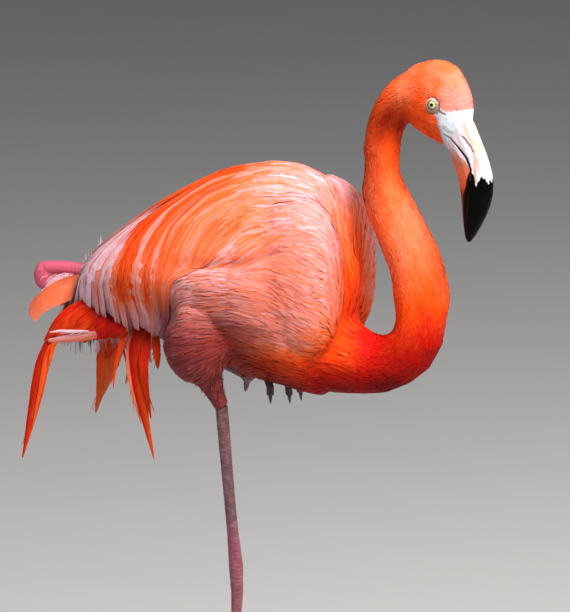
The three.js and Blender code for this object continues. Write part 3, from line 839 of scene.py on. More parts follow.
def blades(centre, up, half, tops, camber, thick, jag, rng):
    """Closed vanes along courses: centre and up are (blade, station, xyz), and half is the
    half width at each station. tops is how many rows of points lie between the edges.
    Returns points, faces, and each point's place on its vane."""
    count, stations, _ = centre.shape
    tangent = unit(np.gradient(centre, axis=1))
    side = unit(np.cross(tangent, up))
    up = np.cross(side, tangent)
    across = np.linspace(-1, 1, tops + 2)
    ring = len(across) + 1
    lifts = camber * (1 - across**2)
    reach = half[:, :, None] * across
    top = centre[:, :, None] + side[:, :, None] * reach[..., None]
    top = top + up[:, :, None] * (half[:, :, None] * lifts)[..., None]
    if jag:
        wander = rng.uniform(-jag, jag * 0.4, (count, len(across)))
        top[:, -1] += tangent[:, -1][:, None] * wander[..., None]
    under = centre + up * (half * camber - thick)[..., None]
    points = np.concatenate([top, under[:, :, None]], 2)
    base = (np.arange(count * stations) * ring).reshape(count, stations)
    here = np.arange(ring)
    after = (here + 1) % ring
    a, b = base[:, :-1, None], base[:, 1:, None]
    sides = np.stack([a + here, a + after, b + after, b + here], -1).reshape(-1, 4)
    i = np.arange(len(across) - 1)
    low, end = base[:, 0, None], base[:, -1, None]
    root = np.stack([low + i, low + ring - 1 + 0 * i, low + i + 1], -1).reshape(-1, 3)
    tip = np.stack([end + i, end + i + 1, end + ring - 1 + 0 * i], -1).reshape(-1, 3)
    run = np.cumsum(np.linalg.norm(np.diff(centre, axis=1, prepend=centre[:, :1]), axis=2), axis=1)
    vane = np.zeros((count, stations, ring, 3))
    vane[:, :, :-1, 0] = reach
    vane[..., 1] = run[:, :, None]
    return points, [sides, root, tip], vane


PATCH = 0.003  # how wide a feather's patch is on the unwrap


def coat(name, slot, material, points, faces, vane, tone, shade, uv, chance, stands_for=()):
    """One piece from many blades. Each keeps a small patch at its root's place on the skin."""
    count, stations, ring, _ = points.shape
    vane[..., 2] = chance[:, None, None]
    mesh = mesh_of(name, points.reshape(-1, 3), faces)
    share = np.linspace(-0.5, 0.5, stations)[None, :, None]
    spread = vane[..., 0] / np.maximum(np.abs(vane[..., 0]).max((1, 2), keepdims=True), 1e-6)
    root_u, root_v = uv[:, None, None, 0], uv[:, None, None, 1]
    patch = np.stack([root_u + PATCH / 2 * spread, root_v + PATCH * share + 0 * spread], -1)
    corners = read(mesh.loops, "vertex_index", 1, int)
    layer = mesh.uv_layers.new(name="OFBake")
    layer.uv.foreach_set("vector", patch.reshape(-1, 2)[corners].astype(np.float32).ravel())
    mark(mesh, "vane", vane.reshape(-1, 3))
    mark(mesh, "tone", np.broadcast_to(tone, (count, stations, ring)).ravel())
    mark(mesh, "shade", np.broadcast_to(shade, (count, stations, ring)).ravel())
    edges = read(mesh.edges, "vertices", 2, int)
    role = edges % ring
    rim = ((role == 0).all(1)) | ((role == ring - 2).all(1))
    last = (edges // ring % stations == stations - 1).all(1)
    sharp = mesh.attributes.new("sharp_edge", "BOOLEAN", "EDGE")
    sharp.data.foreach_set("value", rim | last)
    return place(mesh, name, material, slot, stands_for)


def drape(skin, roots, length, stations, rng, swerve=0.12, stiff=0.2, wave=0.0, loose=None):
    """Courses from roots that follow the lie of the coat over the skin. loose tells how
    free of the skin a feather hangs at each place."""
    here, up, _ = skin.settle(roots)
    heading = lie(here)
    turn = rng.normal(0, swerve, len(roots))
    bend = rng.normal(0, wave, len(roots)) if wave else 0 * turn
    centre, ups = [here], [up]
    pace = (length / (stations - 1))[:, None]
    for k in range(1, stations):
        wanted = unit(lie(here) * (1 - stiff) + heading * stiff)
        across = np.cross(wanted, up)
        amount = turn if k == 1 else bend * (1 if k > stations / 2 else -1)
        wanted = unit(wanted + across * amount[:, None])
        wanted = unit(wanted - up * (wanted * up).sum(1, keepdims=True) * (1 - stiff * 0.5))
        if loose:
            free = loose(here)[:, None]
            wanted = unit(wanted * (1 - free) + heading * free)
        reached = here + wanted * pace
        found, normal, _ = skin.settle(reached)
        gap = np.maximum(((reached - found) * normal).sum(1, keepdims=True), 0)
        moved = found + normal * gap * stiff
        if loose:
            free = loose(reached)[:, None]
            moved = moved * (1 - free) + reached * free
            normal = unit(normal * (1 - free) + up * free)
        heading = unit(moved - here)
        here = moved
        up = unit(normal + up * stiff)
        centre.append(here)
        ups.append(up)
    return np.stack(centre, 1), np.stack(ups, 1)


def plain_tone(points, chance):
    return tone_of(points)


def grow(skin, name, slot, material, where, spacing, length, half, seed, lift, shape=(0.5, 1.0, 0.06),
         stations=5, jag=0.0, swerve=0.12, stiff=0.2, wave=0.0, pale_tip=0.0, tone_jitter=0.05,
         shade_jitter=0.06, curl=0.0, tones=plain_tone, local=0.4, even=(0.75, 1.2), loose=None,
         rim=0.0, root_shade=0.08):
    """Feathers over the skin where the given test holds. length is a length, or a function
    of the roots, and half is half the width. lift is the height over the skin at the root
    and at the tip, and shape the width's share at the root, the middle and the tip. local
    is how far a feather's tone follows each place it covers, not just its root, and rim is
    how much paler its edges are than its middle."""
    rng = np.random.default_rng(seed)
    roots, uv = skin.scatter(spacing, where, rng)
    count = len(roots)
    size = (length(roots) if callable(length) else length) * rng.uniform(*even, count)
    centre, ups = drape(skin, roots, size, stations, rng, swerve, stiff, wave, loose)
    share = np.linspace(0, 1, stations)
    rise = lift[0] + (lift[1] - lift[0]) * share[None] * rng.uniform(0.6, 1.25, (count, 1))
    rise = rise + curl * share[None] ** 3 * rng.normal(0, 1, (count, 1))
    centre = centre + ups * rise[..., None]
    roll = rng.normal(0, 0.09, (count, 1, 1))
    tangent = unit(np.gradient(centre, axis=1))
    ups = unit(ups + np.cross(tangent, ups) * roll)
    middle_share = (shape[0] + shape[1]) / 2 + 0.15, (shape[1] + shape[2]) / 2 + 0.1
    width = np.interp(
        share, [0, 0.15, 0.5, 0.8, 1], [shape[0], middle_share[0], shape[1], middle_share[1], shape[2]]
    )
    wide = half * rng.uniform(0.75, 1.25, count)
    points, faces, vane = blades(centre, ups, wide[:, None] * width[None], 1, 0.1, 0.3, jag, rng)
    chance = rng.random(count)
    tone = tones(centre, chance[:, None])
    tone = tone * local + tone[:, :1] * (1 - local) + rng.normal(0, tone_jitter, (count, 1))
    tone = tone - pale_tip * share[None] ** 2
    # shade: the coat's painted shade, a random darkness for each feather, and painted shade at the root,
    # which the feathers above cover
    shade = painted_shade(centre) + np.abs(rng.normal(0, shade_jitter, (count, 1))) + root_shade * (1 - share) ** 2
    across = np.array([-1, 0, 1, 0])
    tone = tone[:, :, None] - rim * (across**2 - 0.5)
    return coat(name, slot, material, points, faces, vane, tone, shade[:, :, None], uv, chance)


# ---------------------------------------------------------------- the tracts of the coat

def on_body(points):
    """The points' places from the hock, with how far each is from the middle plane."""
    forward, left, height = body_places(points)
    return forward, np.abs(left), height


def is_head(points):
    ahead, height, _ = head_places(points)
    near = np.linalg.norm(points - HEAD, axis=1) < 75
    return near & (ahead > -45) & (height > -60)


def is_bill(points):
    """On the bill, where no feather grows."""
    ahead, height, _ = head_places(points)
    return (np.linalg.norm(points - HEAD, axis=1) < 175) & (ahead > 0) & (height < -36)


def is_neck(points):
    forward, _, height = on_body(points)
    return ((forward > 142) | (height > 456)) & ~is_head(points) & ~is_bill(points)


def is_tibia(points):
    forward, left, height = body_places(points)
    return (left < -20) & (height < 218) & (forward > -50) & (forward < 40)


def is_thigh(points):
    forward, left, height = body_places(points)
    right = (left < -20) & (height < 248) & (forward > -60) & (forward < 45)
    folded = (left > 40) & (height < 300) & (forward < 70)
    return (right | folded) & ~is_tibia(points)


def off_the_face(points):
    """Clear of the bare face and of the ring round each eye."""
    ahead, height, _ = head_places(points)
    lower_front = np.clip((ahead - height) / np.maximum(np.hypot(ahead, height), 1), 0, 2)
    edge = 7.0 + 0.7 * lower_front + 0.6 * ripple(points, 5, 9)
    ring = np.hypot(ahead - RING_AHEAD, height) > edge
    return (bare_face(points) < 0.35) & ring


def head_test(points):
    return is_head(points) & off_the_face(points)


def breast_test(points):
    forward, _, height = on_body(points)
    front = np.interp(height, [200, 250, 300, 350, 400], [20, 40, 70, 90, 105])
    return (forward > front) & ~is_neck(points) & ~is_head(points) & (height < 420)


def flank_test(points):
    forward, left, height = on_body(points)
    top = np.interp(forward, [-40, 0, 40, 90], [345, 347, 350, 368])
    low = (height < top) & (height > 235) & (forward > -42) & (forward < 100)
    return low & (left > 40) & ~breast_test(points)


def belly_test(points):
    height = on_body(points)[2]
    return (height < 300) & ~flank_test(points) & ~breast_test(points) & ~is_neck(points)


def back_test(points):
    others = (breast_test, flank_test, belly_test, is_neck, is_head)
    return ~np.any([test(points) for test in others], axis=0)


def hanging_test(points):
    forward, left, height = on_body(points)
    low = np.interp(forward, [-170, -120, -60, 10], [304, 312, 335, 372])
    return (forward < 22) & (height > low) & (left > 4) & back_test(points)


def plain_back_test(points):
    """The back and shoulders, but not where the hanging feathers grow or fall."""
    forward, left, _ = on_body(points)
    return back_test(points) & ~hanging_test(points) & ((forward > 8) | (left < 30))


# The lower edge of the hanging feathers: height by the distance ahead.
HEM = [(-175, 284), (-154, 274), (-139, 257), (-121, 241), (-109, 228), (-68, 222), (-40, 256), (20, 345)]


def hem(points):
    """How long the hanging feathers of the back are."""
    forward, _, height = on_body(points)
    stretch = 1.16 + 0.3 * ease(-105, -150, forward)
    return np.clip((height - np.interp(forward - 8, *zip(*HEM))) * stretch + 8, 34, 195)


def hang_free(points):
    """1 where a hanging feather has left the flank and hangs on its own."""
    forward, _, height = on_body(points)
    edge = np.interp(forward, [-186, -150, -90, -40], [296, 291, 279, 262])
    return ease(edge + 6, edge - 4, height)


# The streaks of the hanging feathers, from the tail forward: place, tone.
STREAKS = [
    (-150, 0.04), (-120, 0.06), (-114, 0.36), (-110, 0.34), (-104, 0.1), (-99, 0.16), (-92, 0.76),
    (-84, 0.82), (-75, 0.78), (-70, 0.34), (-67, 0.3), (-63, 0.78), (-57, 0.76), (-52, 0.36),
    (-50, 0.34), (-46, 0.72), (-44, 0.7), (-41, 0.44), (-37, 0.68), (-30, 0.64), (-24, 0.6),
    (-20, 0.44), (-16, 0.6), (0, 0.58), (30, 0.54),
]


def hanging_tone(points, chance):
    """White at the rear, then vivid orange parted by pale streaks, then salmon."""
    forward, _, height = on_body(points)
    bow = 0.03 * np.maximum(height - 385, 0) ** 2 - 0.01 * np.maximum(316 - height, 0) ** 2
    spot = forward - bow
    spot = 0.12 * spot + 0.88 * spot.mean(1, keepdims=True) + 4 * (chance - 0.5)
    streak = np.interp(spot, *zip(*STREAKS))
    faded = ease(306, 280, height)
    return streak * (1 - faded) + (0.03 + 0.3 * streak) * faded - 0.06 * (chance > 0.8)


def make_coat(skin):
    fine = feather_material("velvet_feathers", 0.12, 0.08)
    broad = feather_material("body_vanes", 0.3)

    def test(*tests):
        return lambda points: np.all([t(points) for t in tests], axis=0)

    def low_neck(points):
        return body_places(points)[2] < 372

    def rear_body(points):
        return body_places(points)[0] < 50

    grow(skin, "head_feathers", "neck_feathers", fine, head_test, 1.6, 4.0, 0.75, 1, (0.05, 0.4),
         (0.6, 1.0, 0.2), 4, swerve=0.16, tone_jitter=0.01, shade_jitter=0.015, root_shade=0.02)
    for name, where, seed in (
        ("neck_low_feathers", test(is_neck, low_neck), 2),
        ("neck_high_feathers", test(is_neck, lambda p: ~low_neck(p)), 12),
    ):
        grow(skin, name, "neck_feathers", fine, where, 2.1, 9, 1.15, seed, (0.15, 0.7), (0.6, 1.0, 0.12),
             4, tone_jitter=0.02, shade_jitter=0.02, root_shade=0.03)
    grow(skin, "breast_feathers", "body_feathers", broad, breast_test, 2.9, 27, 1.9, 3, (0.3, 1.4),
         wave=0.08)
    grow(skin, "belly_feathers", "body_feathers", broad,
         test(belly_test, lambda p: ~is_thigh(p), lambda p: ~is_tibia(p)),
         4.0, 28, 2.4, 4, (0.3, 2.4), (0.5, 1.0, 0.08), swerve=0.2, wave=0.1)
    grow(skin, "thigh_feathers", "body_feathers", broad, is_thigh, 2.9, thigh_length, 1.7, 5, (0.3, 2.6),
         (0.5, 1.0, 0.08), swerve=0.25, wave=0.2, tones=thigh_tone, pale_tip=0.12, shade_jitter=0.2,
         curl=0.5)
    grow(skin, "tibia_feathers", "body_feathers", fine, is_tibia, 2.2, 6, 1.0, 15, (0.1, 0.5),
         (0.6, 1.0, 0.1), 4, swerve=0.2)
    for name, where, seed in (
        ("back_feathers", test(plain_back_test, rear_body), 6),
        ("shoulder_feathers", test(plain_back_test, lambda p: ~rear_body(p)), 16),
    ):
        grow(skin, name, "wing_feathers", broad, where, 4.2, 46, 3.8, seed, (0.3, 1.2),
             stations=8, swerve=0.05, tones=streaky_tone, rim=0.16)
    for name, side, seed in (("flank_right_feathers", -1, 7), ("flank_left_feathers", 1, 17)):
        where = test(flank_test, lambda p, side=side: p[:, 0] * side > 0)
        grow(skin, name, "body_feathers", broad, where, 2.5, 40, 1.5, seed, (0.4, 2.2),
             stations=8, swerve=0.1, wave=0.1, pale_tip=0.07, curl=0.4, tones=flank_tone, rim=0.1)
    grow(skin, "hanging_feathers", "wing_feathers", broad, hanging_test, 4.7, hem, 3.4, 8, (1.0, 4.2),
         (0.5, 1.0, 0.1), 12, jag=4.0, swerve=0.06, stiff=0.5, tones=hanging_tone, tone_jitter=0.03,
         local=1.0, even=(0.86, 1.06), loose=hang_free, rim=0.14)


def streaky_tone(points, chance):
    """Salmon with paler and more vivid feathers in it."""
    return tone_of(points) - 0.16 * (chance < 0.14) + 0.12 * (chance > 0.8)


def thigh_length(roots):
    return 7 + 10 * ease(222, 252, body_places(roots)[2])


def thigh_tone(points, chance):
    return tone_of(points) + 0.12 * (chance > 0.75) - 0.16 * (chance < 0.15)


def flank_tone(points, chance):
    return tone_of(points) + 0.14 * (chance > 0.72)


# ---------------------------------------------------------------- tail and plumes

PLUME_STATIONS = 22
PLUME_TOPS = 5


def vane_along(skin, course, halves, facing, tone, rng, edge=0.0, jag=3.0, fray=0.06, shade=0.0):
    """One long feather along a course, given its half widths and the way its face looks.
    tone is at its root and at its tip, and edge is what it gains from one edge to the other."""
    centre = smooth_line([at(*p) for p in course], PLUME_STATIONS)[None]
    share = np.linspace(0, 1, PLUME_STATIONS)
    half = np.interp(share, np.linspace(0, 1, len(halves)), halves)
    half = half * (1 - fray * rng.random(PLUME_STATIONS) * ease(0.1, 0.4, share))
    up = np.broadcast_to(way(*facing), centre.shape)
    points, faces, vane = blades(centre, up, half[None], PLUME_TOPS, 0.16, 0.4, jag, rng)
    _, _, uv = skin.settle(centre[:, 0])
    across = np.append(np.linspace(-1, 1, PLUME_TOPS + 2), 0)
    tones = np.interp(share, [0, 1], tone)[None, :, None] + edge * across
    # shade is painted shade: full at the root, and 0.4 of it from the middle on
    shades = shade * (0.4 + 0.6 * ease(0.5, 0.0, share))[None, :, None] + 0 * across
    return SimpleNamespace(points=points, faces=faces, vane=vane, uv=uv, tone=tones, shade=shades)


def gather(name, slot, material, feathers, rng, stands_for=()):
    """One piece from feathers."""
    points = np.concatenate([f.points for f in feathers])
    size = points[0, :, :, 0].size
    faces = [
        np.concatenate([f.faces[k] + i * size for i, f in enumerate(feathers)]) for k in range(3)
    ]
    vane, uv, tone, shade = (
        np.concatenate([getattr(f, field) for f in feathers]) for field in ("vane", "uv", "tone", "shade")
    )
    chance = rng.random(len(feathers))
    return coat(name, slot, material, points, faces, vane, tone, shade, uv, chance, stands_for)


def make_tail(skin, material):
    """The fan of the tail, arched like a roof, the middle feathers on top."""
    rng = np.random.default_rng(21)
    feathers = []
    for i in range(16):
        out = (i - 7.5) / 7.5
        drop = out**2
        course = [
            (-146, 10 * out, 304 - 6 * drop),
            (-186, 22 * out, 303 - 12 * drop),
            (-214, 29 * out, 292 - 14 * drop),
            (-238 + 10 * drop, 33 * out, 274 - 12 * drop + rng.normal(0, 1)),
        ]
        tone = (0.62 + 0.08 * rng.random(), 0.46 + 0.08 * rng.random())
        halves = [5, 8, 11, 12.5, 12.5, 9.5]
        facing = (-0.35, 1.1 * out, 1)
        # shade=0.5 is painted shade over the fan
        feathers.append(vane_along(skin, course, halves, facing, tone, rng, 0.06, jag=2.0, shade=0.5))
    gather("tail_feathers", "plume_feathers", material, feathers, rng, ["tail"])


def make_undertail(skin, material):
    """Long red feathers that hang in a fan between the tail and the wing, on each side."""
    rng = np.random.default_rng(23)
    feathers = []
    for side in (-1, 1):
        for i in range(20):
            share = i / 19
            root = np.array([-154 + 42 * share, 45 * side, 290 - 18 * share])
            tip = np.array([-202 + 77 * share, 54 * side, 244 + 11 * share]) + rng.normal(0, 2.5, 3)
            bow = (root + tip) / 2 + np.array([-3 + 8 * share, (5 + 2 * rng.random()) * side, 4 - 4 * share])
            red = 0.82 + 0.2 * share + rng.normal(0, 0.06)
            # the shade is painted shade, deeper on the inner feathers further forward
            feathers.append(vane_along(
                skin, [root, bow, tip], [4, 5.5, 6, 5, 1.8], (0.15, side, 0.1), (red, red - 0.04), rng,
                0.08, jag=6.0, shade=0.35 + 0.75 * share,
            ))
    gather("undertail_feathers", "plume_feathers", material, feathers, rng)


# The loose plumes under the wings: course, half widths, tone at the root and the tip,
# what the tone gains from the rear edge to the front one, and their painted shade.
REAR_PLUMES = [
    ([(-146, -46, 292), (-184, -54, 258), (-201, -58, 225), (-213, -60, 172), (-227, -60, 114)],
     [7, 9, 5, 7, 8.5, 7.5, 5.5, 3.2, 0.8], (0.86, 0.92), 0.14, 0.7),
    ([(-150, -47, 286), (-180, -53, 262), (-196, -60, 228), (-205, -62, 190), (-214, -62, 150)],
     [7, 6, 3.5, 3, 4, 3, 2, 1, 0.5], (0.78, 0.7), 0.05, 0.3),
    ([(-118, -50, 263), (-141, -57, 256), (-167, -59, 250.5), (-195, -60, 245)],
     [4, 4.6, 4.6, 4.2, 2], (0.4, 0.28), -0.2, 1.0),
    ([(-148, -60, 260), (-164, -61, 258.5), (-180, -62, 257.5), (-193, -62, 255)],
     [0.5, 1.4, 1.7, 1.4, 0.5], (0.1, -0.1), 0.0, 0.0),
    ([(-150, -46, 280), (-176, -54, 258), (-190, -61, 240), (-194, -63, 218)],
     [6, 5, 3, 1.4, 0.5], (0.9, 0.76), 0.05, 0.3),
]
FRONT_PLUMES = [
    ([(-92, -46, 268), (-93, -57, 240), (-87, -60, 190), (-73, -60, 127)],
     [7, 9.5, 9, 8, 6, 4.2, 2.4, 0.7], (0.94, 0.78), 0.16, 0.7),
    ([(-99, -45, 264), (-102, -56, 238), (-98, -60, 205), (-88, -60, 165)],
     [5, 5, 4, 2.5, 0.6], (0.56, 0.5), 0.0, 0.5),
    ([(-86, -46, 264), (-84, -61, 236), (-82, -62, 208), (-76, -61, 172)],
     [4, 6, 5, 3, 0.8], (1.0, 0.88), 0.0, 0.6),
    ([(-76, -48, 258), (-71, -56, 240), (-69, -58, 226)],
     [4, 5, 4, 1], (0.92, 0.82), 0.0, 0.5),
    ([(-110, -48, 264), (-113, -56, 244), (-118, -58, 224), (-121, -58, 200)],
     [4, 3, 1.6, 0.6], (0.9, 0.8), 0.0, 0.4),
]
LEFT_PLUMES = [
    ([(-134, 30, 270), (-156, 36, 244), (-168, 38, 217), (-175, 39, 190), (-188, 41, 144)],
     [7, 11, 14, 15, 13, 9, 4, 1], (0.82, 0.62), 0.1, 0.5),
    ([(-140, 30, 264), (-164, 35, 242), (-178, 36, 226), (-184, 36, 212)],
     [6, 7, 6, 2], (0.4, 0.05), 0.0, 0.2),
    ([(-128, 30, 266), (-146, 34, 244), (-164, 35, 224), (-172, 36, 206)],
     [7, 9, 8, 3], (0.96, 0.86), 0.0, 0.6),
    ([(-128, 32, 262), (-142, 38, 236), (-147, 40, 204), (-151, 40, 180)],
     [6, 5, 3, 2, 0.8], (0.95, 0.82), 0.0, 0.5),
    ([(-124, 34, 258), (-136, 38, 236), (-139, 40, 206)],
     [5, 3, 1.6, 0.6], (0.97, 0.88), 0.0, 0.6),
    ([(-118, 34, 258), (-126, 38, 240), (-135, 40, 222)],
     [5, 4, 2.2, 0.6], (0.95, 0.85), 0.0, 0.6),
]
SIDEWAYS = (0.15, -1, 0.05)


def filaments(skin, plumes, rng, count):
    """Fine loose barbs that stray from the edges of plumes."""
    strands = []
    for course, _, tone, _, painted_plume_shade in plumes:
        line = smooth_line(course, 24)
        for _ in range(count):
            start = int(rng.integers(4, 17))
            drift = rng.uniform(-1, 1)
            points = [
                line[min(start + 2 * k, 23)] + np.array([drift * 2.9 * k, 0.4 * k, -1.4 * k])
                for k in range(4)
            ]
            ends = (tone[0] - 0.12, tone[1] - 0.15)
            strands.append(vane_along(
                skin, points, [0.9, 0.6, 0.4, 0.2], SIDEWAYS, ends, rng, jag=0.5, shade=painted_plume_shade,
            ))
    return strands


def make_plumes(skin, material):
    groups = [
        ("rear_plumes", REAR_PLUMES, "plume_right_rear"),
        ("front_plumes", FRONT_PLUMES, "plume_right_front"),
        ("left_plumes", LEFT_PLUMES, "plume_left"),
    ]
    for seed, (name, plumes, stood_for) in enumerate(groups):
        rng = np.random.default_rng(31 + seed)
        feathers = [
            vane_along(skin, course, halves, SIDEWAYS, tone, rng, edge, shade=painted_plume_shade)
            for course, halves, tone, edge, painted_plume_shade in plumes
        ]
        feathers += filaments(skin, plumes, rng, 5)
        gather(name, "plume_feathers", material, feathers, rng, [stood_for])


def make_down(skin, material):
    """White down behind the folded shank, and hair-like plumes that stand on the rump."""
    rng = np.random.default_rng(41)
    strands = []
    for _ in range(520):
        root = np.array([-226 + rng.normal(0, 8), 61 + rng.normal(0, 4), 283 + rng.normal(0, 3)])
        reach = np.array([-rng.uniform(4, 15), rng.normal(0, 4), rng.uniform(-16, -3)])
        bend = np.array([-1, 0, rng.uniform(0, 1.5)])
        course = [root, root + reach * 0.5 + bend, root + reach]
        tone = (rng.uniform(0.0, 0.2), rng.uniform(-0.1, 0.1))
        strands.append(vane_along(skin, course, [0.35, 0.4, 0.3, 0.12], SIDEWAYS, tone, rng, jag=0.5))
    for _ in range(34):
        forward = rng.uniform(-184, -158)
        root = np.array([forward, rng.normal(6, 9), 296 + (forward + 186) * 1.25])
        reach = np.array([rng.uniform(-9, 3), rng.normal(0, 4), rng.uniform(8, 21)])
        bend = np.array([rng.uniform(-3, 1), 0, 2])
        course = [root, root + reach * 0.5 + bend, root + reach]
        strands.append(vane_along(skin, course, [0.5, 0.4, 0.3, 0.15], SIDEWAYS, (-0.1, -0.2), rng, jag=0.5))
    gather("down", "plume_feathers", material, strands, rng)


# ---------------------------------------------------------------- bill

# Lines in the middle plane of the head: distance ahead, height.
GAPE = [
    (-12, -20), (13.5, -30), (28, -38), (42, -49.5), (48.5, -61), (48, -72), (44, -88), (38, -112),
    (34, -150),
]
NOSTRIL = [(34.5, -29.5), (38, -32.5), (41, -36), (44.2, -38.6), (47.2, -43.3)]
BILL_GROOVE = [(47.2, -43.3), (49.5, -48), (50.8, -54), (52, -62), (54, -74)]
# Where the black begins: above the gape its height by the distance ahead, below the gape
# its distance ahead by the height.
BLACK_ABOVE = [
    (36, -60), (48, -60), (51, -65), (53.5, -70), (55.5, -80), (57, -72), (60, -68), (66, -72.5),
    (69, -68),
]
BLACK_BELOW = [
    (-140, 33.5), (-125, 32.5), (-105, 32), (-90, 36), (-80, 40.5), (-71, 43.5), (-62, 47.5),
]


# The colours of the upper and the lower bill, by the share of 100 mm below the eyes.
WHITE_TO_ROSE = [
    (0.0, (0.66, 0.65, 0.68)), (0.3, (0.6, 0.52, 0.55)), (0.45, (0.64, 0.53, 0.55)),
    (0.65, (0.72, 0.64, 0.65)),
]
LILAC_TO_ORANGE = [
    (0.40, (0.52, 0.44, 0.5)), (0.48, (0.56, 0.3, 0.27)), (0.56, (0.56, 0.16, 0.08)),
    (0.68, (0.76, 0.16, 0.07)), (0.82, (0.72, 0.09, 0.03)), (0.92, (0.2, 0.004, 0.004)),
]


def bill_material(name, stops, upper):
    """Horn: pale with a pink wash, jagged black towards the tip, a dark line at the gape.
    stops colour it by height below the eyes, from 0 to 100."""
    material, tree, shader = new_material(name, 0.36)
    shader.inputs["Specular IOR Level"].default_value = 0.04
    ahead, height, out = place_on_head(tree)
    grain = noise(tree, 300.0, 4.0)
    wander = (noise(tree, 110.0) - 0.5) * 12.0
    colour = ramp((wander - height) * 0.01, stops)
    gape = line_distance(ahead, height, GAPE[1:6])
    if upper:
        peach = step(line_distance(ahead, height, PEACH_STREAK), 4.0, 0.5)
        peach = peach * step(noise(tree, 120.0), 0.2, 0.6)
        slit = step(line_distance(ahead, height, NOSTRIL), 1.7, 0.4)
        groove = step(line_distance(ahead, height, BILL_GROOVE), 1.6, 0.3)
        washes = [
            (step(out, 9.0, 5.0), (0.72, 0.68, 0.68)),
            (peach * 0.95, (0.72, 0.37, 0.29)),
            (groove * 0.6, (0.5, 0.27, 0.25)),
            # painted shade in the nostril slit
            (slit * 0.85, (0.22, 0.11, 0.1)),
        ]
    else:
        lip = step(gape - step(height, -66.0, -38.0) * 6.0, 1.6, 0.4)
        washes = [(lip * 0.9, (0.74, 0.66, 0.70))]
    stretch = vector_math(tree, "MULTIPLY", {0: object_place(tree), 1: (1, 1, 0.12)})
    teeth = noise(tree, 420.0, 2.0, stretch) - 0.5
    black_edge = attribute(tree, "black") + teeth * (12.0 if upper else 3.0)
    gape_width = ((height + 32.0) * -0.055).clamped() + 0.35
    washes += [
        (step(black_edge, -0.5, 0.5), (0.002, 0.002, 0.002)),
        # painted shade in the gap along the gape
        (step(gape - gape_width, 0.35, -0.1), (0.03, 0.015, 0.025)),
    ]
    for share, wash in washes:
        colour = mix(share, colour, wash)
    tree.links.new((grain * 0.3 + 0.25).socket, shader.inputs["Roughness"])
    paint(shader, colour, grain, 0.0004, 0.35)
    return material


def make_bill(name, border, stops, nostrils):
    points, faces = remeshed([name], 1.0, 0.25)
    points = relax(points, faces, 25)
    normals = normals_of(points, faces)
    ahead, height, left = head_places(points)
    flat = np.stack([ahead, height], 1)
    into_head = ease(-20, -4, height + 0.45 * (34 - ahead)) + ease(18, 6, ahead)
    dent = 0 * ahead
    if nostrils:
        slit = distance_to_line(flat, smooth_line(NOSTRIL, 12))
        groove = distance_to_line(flat, smooth_line(BILL_GROOVE, 14))
        onside = ease(3, 5, np.abs(left))
        dent = onside * (1.6 * bell(slit, 1.3) + 0.6 * bell(groove, 1.2) - 0.4 * bell(groove - 2.4, 1.5))
    points = points - normals * (dent + 2.2 * np.clip(into_head, 0, 1))[:, None]
    mesh = mesh_of(name, points, [faces])
    if nostrils:
        black = np.interp(ahead, *zip(*border)) - height
    else:
        black = ahead - np.interp(height, *zip(*border))
    mark(mesh, "black", black)
    material = bill_material(name + "_paint", stops, nostrils)
    place(mesh, name + "_horn", material, "bill", [name])


# ---------------------------------------------------------------- eyes

# The ring of bare skin round an eye: how far from the eye's middle, how far out.
LID_PROFILE = [
    (4.6, 4.4), (4.7, 5.0), (4.9, 5.35), (5.2, 5.3), (5.5, 4.85), (5.8, 5.1), (6.1, 5.0),
    (6.4, 4.5), (6.7, 4.7), (7.0, 4.4), (7.3, 3.9), (7.8, 3.7), (8.3, 2.9), (8.7, 1.3),
    (7.2, 1.2), (5.2, 2.8),
]
LID_SHIFT = (0.8, -0.6)  # the ring reaches further ahead of the eye and below it
RING_AHEAD = 2.6  # of the ring's middle, from the eye's
RING_TURN = (0.27, 0.06)  # how far the ring faces ahead and up
EYE_TURN = (0.42, 0.14)  # how far the eye itself looks ahead and up
# The folds are painted darker: painted crease shade, where each lies and how dark.
LID_GROOVES = [(5.5, 0.9), (6.4, 1.0), (7.3, 1.0), (8.2, 0.9)]  # its folds: where, how dark


def eye_frame(side, lead, rise):
    """An eye's centre, and axes there: ahead, up and out, turned ahead and up a bit."""
    centre = middle("eye_left" if side > 0 else "eye_right")
    out = unit(HEAD_LEFT * side + HEAD_AHEAD * lead + UP * rise)
    ahead = unit(HEAD_AHEAD - out * (HEAD_AHEAD @ out))
    return centre, ahead, np.cross(ahead, out) * side, out


def eye_material():
    material, tree, shader = new_material("iris", 0.08)
    shader.inputs["Coat Weight"].default_value = 1.0
    shader.inputs["Coat Roughness"].default_value = 0.03
    fibres = (noise(tree, 900.0) - 0.5) * 0.1
    colour = ramp(attribute(tree, "gaze") * 0.1 + fibres, [
        (0.0, (0.003, 0.003, 0.003)), (0.15, (0.004, 0.004, 0.003)), (0.185, (0.2, 0.19, 0.05)),
        (0.25, (0.5, 0.48, 0.17)), (0.34, (0.66, 0.63, 0.3)), (0.39, (0.3, 0.26, 0.1)),
        (0.43, (0.02, 0.015, 0.01)),
    ])
    tree.links.new(colour.socket, shader.inputs["Base Color"])
    return material


def lid_material():
    material, tree, shader = new_material("lid_skin", 0.55)
    folds = noise(tree, 700.0, 4.0)
    cream, tan = (ramp(folds, list(zip((0.3, 0.48, 0.68), colours))) for colours in (
        ((0.5, 0.37, 0.27), (0.68, 0.57, 0.44), (0.76, 0.7, 0.6)),
        ((0.24, 0.14, 0.09), (0.46, 0.33, 0.24), (0.68, 0.58, 0.47)),
    ))
    colour = mix(attribute(tree, "tan"), cream, tan)
    # painted shade in the folds and at the ring's inner edge
    colour = mix(attribute(tree, "groove"), colour, (0.08, 0.04, 0.025))
    paint(shader, colour, folds, 0.0004, 0.6)
    return material


